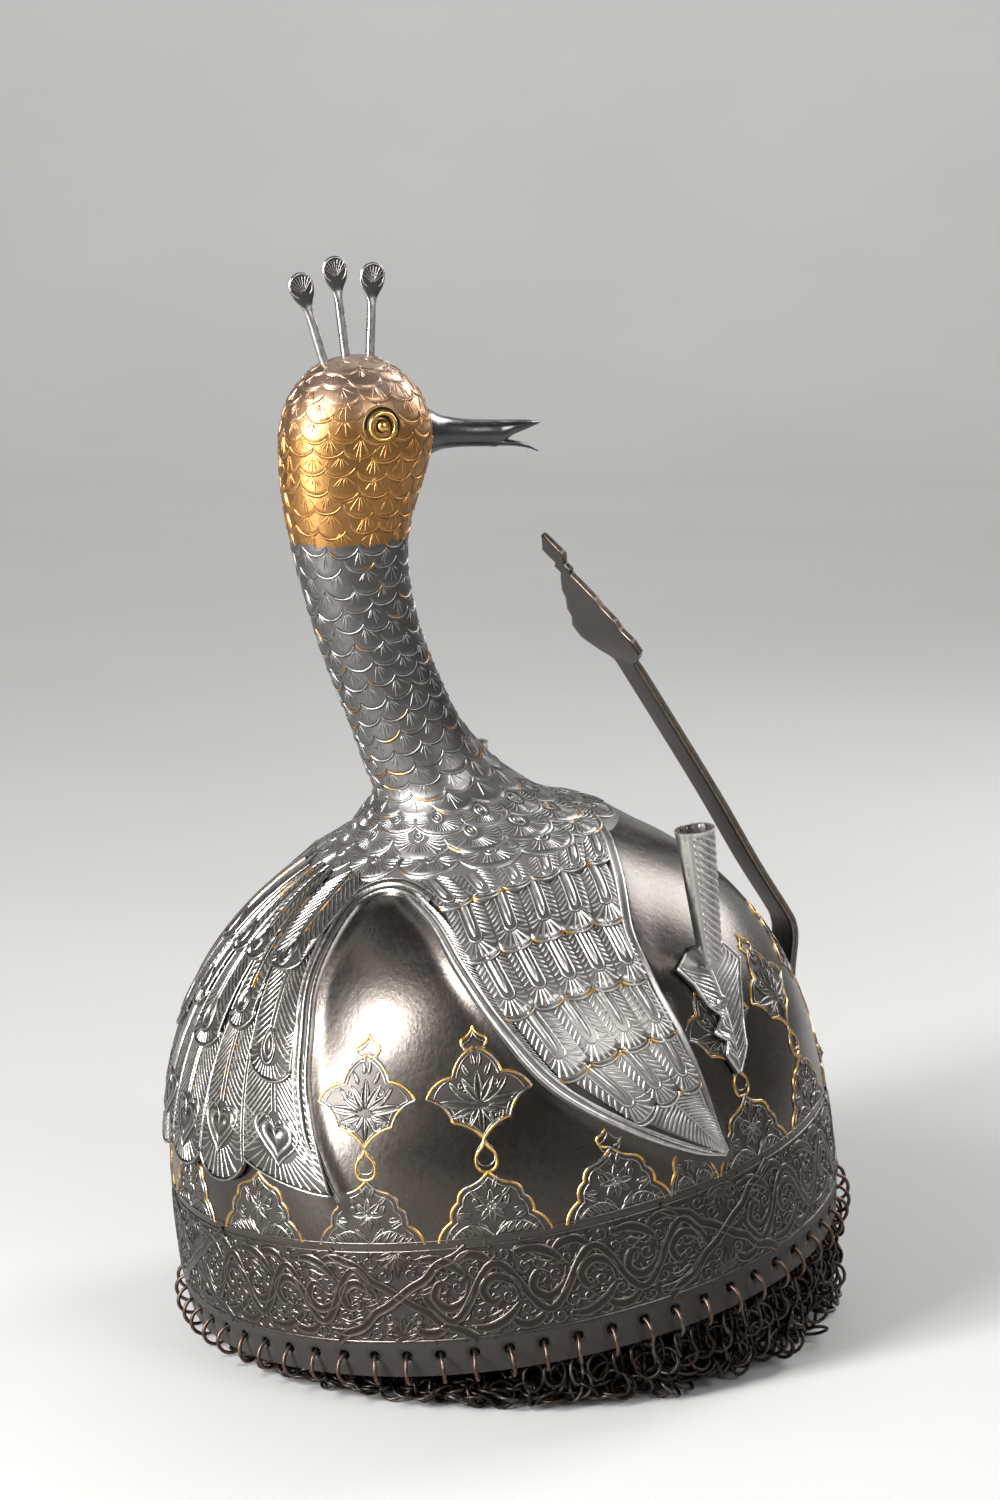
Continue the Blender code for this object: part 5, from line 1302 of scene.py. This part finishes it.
def bar_skin():
    """The nasal bar as rings; the outer face is centred on 0 degrees and the inner one on 180."""
    rows = np.array(NASAL_SECTIONS)
    path = spline(rows[:, :2], NASAL_STEPS)
    k = np.arange(len(path)) / NASAL_STEPS
    half, thick = (np.interp(k, np.arange(len(rows)), rows[:, column])[:, None] for column in (2, 3))
    way = np.gradient(path, axis=0)
    way /= np.linalg.norm(way, axis=1, keepdims=True)
    u, f = np.arange(NASAL_SIDES) / NASAL_SIDES, FACE_SHARE / 2
    # the way round runs over the outer face, round an edge, over the inner face and back
    corners = (0, f, 0.5 - f, 0.5, 0.5 + f, 1 - f, 1)
    across = np.interp(u, corners, (0, 0.96, 0.96, 0, -0.96, -0.96, 0))
    depth = np.interp(u, corners, (1, 0.93, -0.93, -1, -0.93, 0.93, 1)) * thick
    bulge = np.where((u > f) & (u < 0.5 - f), 0.35, 0.0)
    bulge = np.where((u > 0.5 + f) & (u < 1 - f), -0.35, bulge)
    x, z = path[:, :1] + depth * way[:, 1:], path[:, 1:] - depth * way[:, :1]
    return Skin(np.stack([x, -(across * half + bulge), z], 2))


def nasal_bar(bag):
    """The bar with its two leaves, and the lines chased on the upper one."""
    bar = bar_skin()
    rings = np.concatenate([tip(bar.rings[:1]), bar.rings, tip(bar.rings)])
    normals = np.concatenate([bar.normals[:1], bar.normals, bar.normals[-1:]])
    edge = bell(np.abs(np.arange(NASAL_SIDES) / NASAL_SIDES * 2 % 1 - 0.5) - 0.08, 0.06)
    bag.grid(rings, 0, 0.9 * edge - 0.05, wrap=True, facing=normals)
    face = FACE_SHARE * 180
    heights = np.array(NASAL_SECTIONS)[:, 1]
    ends = np.interp((CHASED_FROM, CHASED_TO), heights, np.arange(len(heights)) * NASAL_STEPS)
    low, high = np.interp(ends, np.arange(len(bar.along)), bar.along)
    for way in (-1, 1):
        bag.sweep(bar, way * face * 0.78, low + (high - low) * unit(70), ridge(0.8, 0.25))
    bag.sweep(bar, 0, np.linspace(low, high - 3, 30), ridge(0.9, 0.35))
    way = np.tile((-1, 1), 9)[:, None]
    start = np.repeat(np.linspace(0.06, 0.66, 9), 2)[:, None]
    t = unit(6)
    bag.sweep(bar, way * face * 0.66 * t, low + (high - low) * (start + 0.11 * t ** 1.5), ridge(0.6, 0.24),
              0.0, taper(6, 0.4, 0.3))


def nasal_screw(bag):
    """The set screw's head, with a slot across it."""
    lathe(bag, SCREW_PROFILE, (0, 0, SCREW_HEIGHT), (1, 0, 0), 40)
    y = np.linspace(-SLOT_HALF, SLOT_HALF, 8)
    bag.lay(np.stack([0 * y + SLOT_AT, y, 0 * y + SCREW_HEIGHT], 1)[None], (1.0, 0, 0), SLOT)


# ---------------------------------------------------------------- materials
DARK = (0.008, 0.007, 0.0065)
CROWN_WORN = 0.3  # height in metres above which the gilding is worn off
BREAST_LIT_TOP = 0.172  # height in metres where the breast's paler colour, painted light, begins to give way
# the crests' colours stand for wear and painted highlight, and the breast's paler colour is painted light
METALS = (  # name, colour, colour of the crests, roughness, second colour, gilding, worn crown, breast
    ("skull_steel", (0.060, 0.053, 0.048), (0.42, 0.40, 0.375), 0.25, (0.072, 0.062, 0.054),
     (0.52, 0.30, 0.09)),
    # the wing's steel is the skull's steel made paler, as painted light on the wing
    ("wing_steel", (0.20, 0.195, 0.185), (0.50, 0.485, 0.46), 0.3, (0.16, 0.152, 0.14), (0.52, 0.30, 0.09)),
    ("medallion_steel", (0.060, 0.053, 0.048), (0.27, 0.255, 0.235), 0.27, (0.072, 0.062, 0.054),
     (0.56, 0.33, 0.10)),
    # the band's steel is the skull's steel darkened as painted shade
    ("band_steel", (0.027, 0.023, 0.020), (0.13, 0.115, 0.10), 0.3, (0.036, 0.029, 0.024),
     (0.55, 0.33, 0.10)),
    # the neck's worn crown colour is the worn metal lightened in part as a painted highlight
    ("neck_steel", (0.088, 0.087, 0.087), (0.29, 0.285, 0.28), 0.36, (0.104, 0.098, 0.093),
     (0.38, 0.195, 0.066), (0.34, 0.24, 0.185), (0.19, 0.184, 0.174)),
    ("dark_steel", (0.048, 0.036, 0.029), (0.24, 0.205, 0.17), 0.42, (0.056, 0.044, 0.036)),
    ("plume_steel", (0.25, 0.24, 0.228), (0.64, 0.62, 0.595), 0.27),
    ("crest_steel", (0.085, 0.08, 0.076), (0.56, 0.54, 0.52), 0.27),
    ("bright_steel", (0.078, 0.077, 0.078), (0.32, 0.315, 0.31), 0.2),
    ("eye_gilt", (0.30, 0.17, 0.045), (0.62, 0.39, 0.12), 0.22),
)
WIRES = (  # name, colour, colour of the crests, second colour
    ("mail_iron", (0.018, 0.016, 0.014), (0.12, 0.105, 0.095), (0.032, 0.022, 0.017)),
    ("rim_wire", (0.075, 0.048, 0.036), (0.26, 0.175, 0.13), (0.05, 0.036, 0.028)),
)


class Nodes:
    """Short names for making a material's nodes; colours are written as red, green and blue."""

    def __init__(self, name):
        self.material = bpy.data.materials.new(name)
        self.material.use_nodes = True
        self.tree = self.material.node_tree
        self.shader = self.tree.nodes["Principled BSDF"]
        self.place = self.tree.nodes.new("ShaderNodeTexCoord").outputs["Object"]

    def make(self, kind, **inputs):
        node = self.tree.nodes.new(kind)
        for key, value in inputs.items():
            self.put(node.inputs[key.replace("_", " ")], value)
        return node

    def put(self, socket, value):
        if isinstance(value, bpy.types.NodeSocket):
            self.tree.links.new(value, socket)
        else:
            socket.default_value = (*value, 1.0) if isinstance(value, tuple) else value

    def set(self, name, value):
        """An input of the shader."""
        self.put(self.shader.inputs[name], value)

    def noise(self, scale, detail=3.0, rough=0.55, stretch=None):
        """A clouded value, with stretch its scale along each axis."""
        place = self.place
        if stretch:
            mapping = self.make("ShaderNodeMapping", Vector=place)
            mapping.inputs["Scale"].default_value = stretch
            place = mapping.outputs[0]
        node = self.make("ShaderNodeTexNoise", Vector=place, Scale=scale, Detail=detail, Roughness=rough)
        return node.outputs["Fac"]

    def math(self, kind, a, b):
        node = self.tree.nodes.new("ShaderNodeMath")
        node.operation = kind
        self.put(node.inputs[0], a)
        self.put(node.inputs[1], b)
        return node.outputs[0]

    def add(self, a, b):
        return self.math("ADD", a, b)

    def times(self, a, b):
        return self.math("MULTIPLY", a, b)

    def about_half(self, value, gain):
        return self.times(self.math("SUBTRACT", value, 0.5), gain)

    def ramp(self, value, low, high, out_low=0.0, out_high=1.0):
        return self.make("ShaderNodeMapRange", Value=value, From_Min=low, From_Max=high, To_Min=out_low,
                         To_Max=out_high).outputs[0]

    def mix(self, factor, a, b):
        node = self.tree.nodes.new("ShaderNodeMix")
        node.data_type = "RGBA"
        for socket, value in ((0, factor), (6, a), (7, b)):
            self.put(node.inputs[socket], value)
        return node.outputs[2]

    def attribute(self, name):
        node = self.tree.nodes.new("ShaderNodeAttribute")
        node.attribute_name = name
        return node.outputs["Fac"]

    def height(self):
        return self.make("ShaderNodeSeparateXYZ", Vector=self.place).outputs[2]

    def bump(self, height, strength, distance):
        node = self.make("ShaderNodeBump", Height=height, Strength=strength, Distance=distance)
        self.tree.links.new(node.outputs[0], self.shader.inputs["Normal"])


def shade(tone, share):
    """The same colour, darker or lighter."""
    return tuple(share * c for c in tone)


def gilding(n, gold, crown, cloud, fine, rub):
    """Where the gilding is still there, and its colour; crown is the colour where it is worn off on top,
    made lighter in part as a painted highlight.
    """
    leaf = n.attribute("gilt")
    patchy = n.add(leaf, n.about_half(n.noise(230, 4, 0.7), 2.4))
    share = n.times(n.ramp(patchy, 0.42, 0.58), n.ramp(leaf, 0.02, 0.12))
    tone = n.mix(n.ramp(fine, 0.3, 0.7), gold, shade(gold, 0.62))
    if crown:
        tone = n.mix(n.ramp(cloud, 0.35, 0.68), tone, shade(gold, 0.5))
        # the gilding's rubbed crests are lighter with wear and painted highlight
        tone = n.mix(n.times(rub, 0.6), tone, shade(gold, 1.6))
        level = n.add(n.height(), n.about_half(n.noise(90, 4, 0.7), 0.03))
        tone = n.mix(n.ramp(level, CROWN_WORN - 0.006, CROWN_WORN + 0.012), tone, crown)
    return share, tone


def worked_metal(name, body, bright, rough, second=None, gold=None, crown=None, breast=None):
    """Burnished metal darkened beside its raised lines with dirt and painted shade, with crests lightened
    by wear and painted highlight, and worn gilding; a paler breast is painted light.
    """
    n = Nodes(name)
    cloud, grain, fine = n.noise(38, 4, 0.6), n.noise(420, 4, 0.65), n.noise(1900, 3, 0.6)
    tone = n.mix(n.ramp(cloud, 0.32, 0.7), body, second or shade(body, 1.4))
    tone = n.mix(n.ramp(grain, 0.6, 0.8, 0, 0.25), tone, DARK)
    # the breast below the neck is paler, as painted light
    if breast:
        tone = n.mix(n.ramp(n.height(), BREAST_LIT_TOP, BREAST_LIT_TOP + 0.04), breast, tone)
    worn = n.attribute("worn")
    # the crests are lightened with wear and painted highlight
    rub = n.times(n.ramp(worn, 0.0, 1.0), n.ramp(grain, 0.3, 0.62, 0.35, 1.0))
    tone = n.mix(rub, tone, bright)
    shine = n.ramp(n.add(n.times(cloud, 0.5), n.times(grain, 0.5)), 0.3, 0.7, rough - 0.03, rough + 0.06)
    if gold:
        share, leafed = gilding(n, gold, crown, cloud, fine, rub)
        tone = n.mix(share, tone, leafed)
    # the hollows are darkened with dirt and painted shade
    grime_and_shade = n.times(n.ramp(worn, 0.0, -1.0), n.ramp(cloud, 0.2, 0.6, 0.84, 0.98))
    n.set("Base Color", n.mix(grime_and_shade, tone, DARK))
    n.set("Metallic", n.math("SUBTRACT", 1.0, grime_and_shade))
    n.set("Specular IOR Level", 0.25)
    n.set("Roughness", n.add(shine, n.times(grime_and_shade, 0.25)))
    scratch = n.noise(900, 2, 0.5, (1.0, 1.0, 0.12))
    n.bump(n.add(n.times(grain, 0.7), n.times(scratch, 0.3)), 0.3, 0.0003)
    return n.material


def mail_metal(name, body, bright, second):
    """Blackened wire with rubbed, slightly coppery crests."""
    n = Nodes(name)
    cloud, grain = n.noise(70, 3, 0.6), n.noise(700, 4, 0.65)
    tone = n.mix(n.ramp(cloud, 0.35, 0.65), body, second)
    rub = n.times(n.ramp(n.attribute("worn"), -0.2, 1.0), n.ramp(grain, 0.35, 0.7))
    n.set("Base Color", n.mix(rub, tone, bright))
    n.set("Metallic", 1.0)
    n.set("Roughness", n.ramp(grain, 0.3, 0.7, 0.3, 0.5))
    n.bump(grain, 0.4, 0.0002)
    return n.material


# ---------------------------------------------------------------- stage, in metres
CAMERA_AT, CAMERA_BACK = (-0.49955, -1.0105, 0.39873), (-0.4309, -0.8835, 0.1836)
CAMERA_LENS, CAMERA_FILM = 85, 36
FLOOR_RADIUS, FLOOR_BEND, WALL_TOP, FLOOR_SIDES = 2.6, 1.6, 3.4, 96
FLOOR_TONES = (0.385, 0.383, 0.378), (0.405, 0.403, 0.397)
WORLD_TONE, WORLD_LIGHT = (0.86, 0.88, 0.92, 1), 0.14
HELMET = (0, 0, 0.14)
LAMPS = (  # name, place, target, size, watts
    ("key", (-0.98, -0.32, 0.86), HELMET, (0.34, 0.34), 24),
    ("left", (-1.12, -0.25, 0.34), (0, 0, 0.2), (0.20, 0.5), 24),
    ("side", (0.35, -1.15, 0.9), HELMET, (0.6, 0.5), 9),
    ("front", (1.05, 0.25, 0.88), HELMET, (0.5, 0.8), 14),
    ("top", (0.25, 0.55, 1.6), HELMET, (0.9, 0.8), 4.5),
    ("fill", (-1.0, -1.0, 0.75), HELMET, (1.0, 1.0), 1.2),
)
WALL_LAMPS = (("rear", (0.9, 1.7), 76), ("right", (1.4, -1.4), 54), ("left", (-1.7, 0.7), 54))
WALL_LAMP_HEIGHT, WALL_LAMP_REACH, WALL_LAMP_AIM, WALL_LAMP_SIZE = 2.6, 2.1, 0.9, (1.6, 0.8)


def stage():
    """A round pale floor that turns up into a low wall far from the helmet."""
    n = Nodes("floor_paper")
    n.set("Base Color", n.mix(n.ramp(n.noise(3.0, 3), 0.3, 0.7), *FLOOR_TONES))
    n.set("Roughness", 0.75)
    bend = [(FLOOR_RADIUS + FLOOR_BEND * math.sin(t), FLOOR_BEND * (1 - math.cos(t)))
            for t in np.radians(np.linspace(0, 90, 13))]
    profile = [(1.5, 0.0), (FLOOR_RADIUS, 0.0), *bend, (FLOOR_RADIUS + FLOOR_BEND, WALL_TOP)]
    around = np.radians(turns(FLOOR_SIDES))
    points = [(r * math.cos(a), r * math.sin(a), z) for r, z in profile for a in around]
    faces = [tuple(range(FLOOR_SIDES))]
    for i in range(len(profile) - 1):
        for k in range(FLOOR_SIDES):
            a, b = i * FLOOR_SIDES, (k + 1) % FLOOR_SIDES
            faces.append((a + k, a + FLOOR_SIDES + k, a + FLOOR_SIDES + b, a + b))
    mesh = bpy.data.meshes.new("floor")
    mesh.from_pydata(points, [], faces)
    mesh.polygons.foreach_set("use_smooth", [True] * len(faces))
    mesh.materials.append(n.material)
    floor = place_object("floor", mesh)


def lamp(name, place, target, size, power):
    """A flat lamp that shines from a place towards a target."""
    data = bpy.data.lights.new(name, "AREA")
    data.shape = "RECTANGLE"
    data.size, data.size_y = size
    data.energy = power
    ob = place_object(name, data)
    ob.location = place
    ob.rotation_euler = (Vector(target) - Vector(place)).to_track_quat("-Z", "Y").to_euler()


def lights():
    """A faint even light, soft lamps round the helmet and three that light the wall."""
    world = bpy.data.worlds.new("studio")
    world.use_nodes = True
    background = world.node_tree.nodes["Background"]
    background.inputs[0].default_value = WORLD_TONE
    background.inputs[1].default_value = WORLD_LIGHT
    bpy.context.scene.world = world
    for row in LAMPS:
        lamp(*row)
    for name, (x, y), power in WALL_LAMPS:
        target = (WALL_LAMP_REACH * x, WALL_LAMP_REACH * y, WALL_LAMP_AIM)
        lamp(f"backdrop_{name}", (x, y, WALL_LAMP_HEIGHT), target, WALL_LAMP_SIZE, power)


def camera():
    """The camera, whose back direction is the opposite of where it looks."""
    data = bpy.data.cameras.new("camera")
    data.lens = CAMERA_LENS
    data.sensor_fit = "VERTICAL"
    data.sensor_height = CAMERA_FILM
    ob = place_object("camera", data)
    back = Vector(CAMERA_BACK).normalized()
    right = Vector((0, 0, 1)).cross(back).normalized()
    turn = Matrix((right, back.cross(right), back)).transposed().to_4x4()
    ob.matrix_world = Matrix.Translation(Vector(CAMERA_AT)) @ turn
    bpy.context.scene.camera = ob


# ---------------------------------------------------------------- build
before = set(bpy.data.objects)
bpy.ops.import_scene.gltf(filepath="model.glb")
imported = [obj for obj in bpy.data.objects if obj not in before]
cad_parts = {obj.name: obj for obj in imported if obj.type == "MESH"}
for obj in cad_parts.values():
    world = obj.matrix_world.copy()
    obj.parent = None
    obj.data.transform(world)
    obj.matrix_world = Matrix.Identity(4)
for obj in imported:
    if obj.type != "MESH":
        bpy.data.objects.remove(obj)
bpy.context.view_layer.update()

metals = {row[0]: worked_metal(*row) for row in METALS}
metals.update({row[0]: mail_metal(*row) for row in WIRES})

make_piece("skull", "skull_steel", "skull_steel", skull_and_rim, stands_for=["bowl"])
for side, label in ((1, "right"), (-1, "left")):
    make_piece(f"wing_{label}", "wing_steel", "skull_steel", wing, side)
make_piece("tail", "skull_steel", "skull_steel", tail)
make_piece("medallions", "medallion_steel", "skull_steel", medallions)
make_piece("rim_band", "band_steel", "skull_steel", band)
make_piece("neck_and_head_scales", "neck_steel", "gilded_steel", neck_and_head, stands_for=["neck_and_head"])
make_piece("rim_rings", "rim_wire", "mail_iron", rim_rings,
           stands_for=[f"rim_rings_{i}" for i in range(1, 9)])
for k in range(MAIL_PARTS):
    part = 360 // MAIL_PARTS
    make_piece(f"mail_{k + 1}", "mail_iron", "mail_iron", mail, k * part, k * part + part,
               stands_for=["mail_aventail"] if k == 0 else (), world=True)
make_piece("peacock_beak", "bright_steel", "bright_steel", beak, stands_for=["beak"])
for side, label in ((1, "right"), (-1, "left")):
    make_piece(f"peacock_eye_{label}", "eye_gilt", "gilt_eye", eye, side, stands_for=[f"eye_{label}"])
    make_piece(f"plume_sleeve_{label}", "plume_steel", "dark_steel", plume_holder, side)
for label, ends in CREST.items():
    make_piece(f"crest_{label}", "crest_steel", "dark_steel", crest_feather, *ends,
               stands_for=[f"crest_feather_{label}"])
make_piece("nasal_guard", "dark_steel", "dark_steel", nasal_bar, stands_for=["nasal_bar"], body="nasal")
make_piece("nasal_set_screw", "dark_steel", "dark_steel", nasal_screw, stands_for=["nasal_screw"])

for name, metal in (("plume_holder_left", "plume_steel"), ("plume_holder_right", "plume_steel"),
                    ("plume_rivet_left", "plume_steel"), ("plume_rivet_right", "plume_steel"),
                    ("nasal_bracket", "dark_steel")):
    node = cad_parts[name]
    node.data.materials.clear()
    node.data.materials.append(metals[metal])

stage()
lights()
camera()
# the default view transform turns dark metal milky
bpy.context.scene.view_settings.view_transform = "Standard"
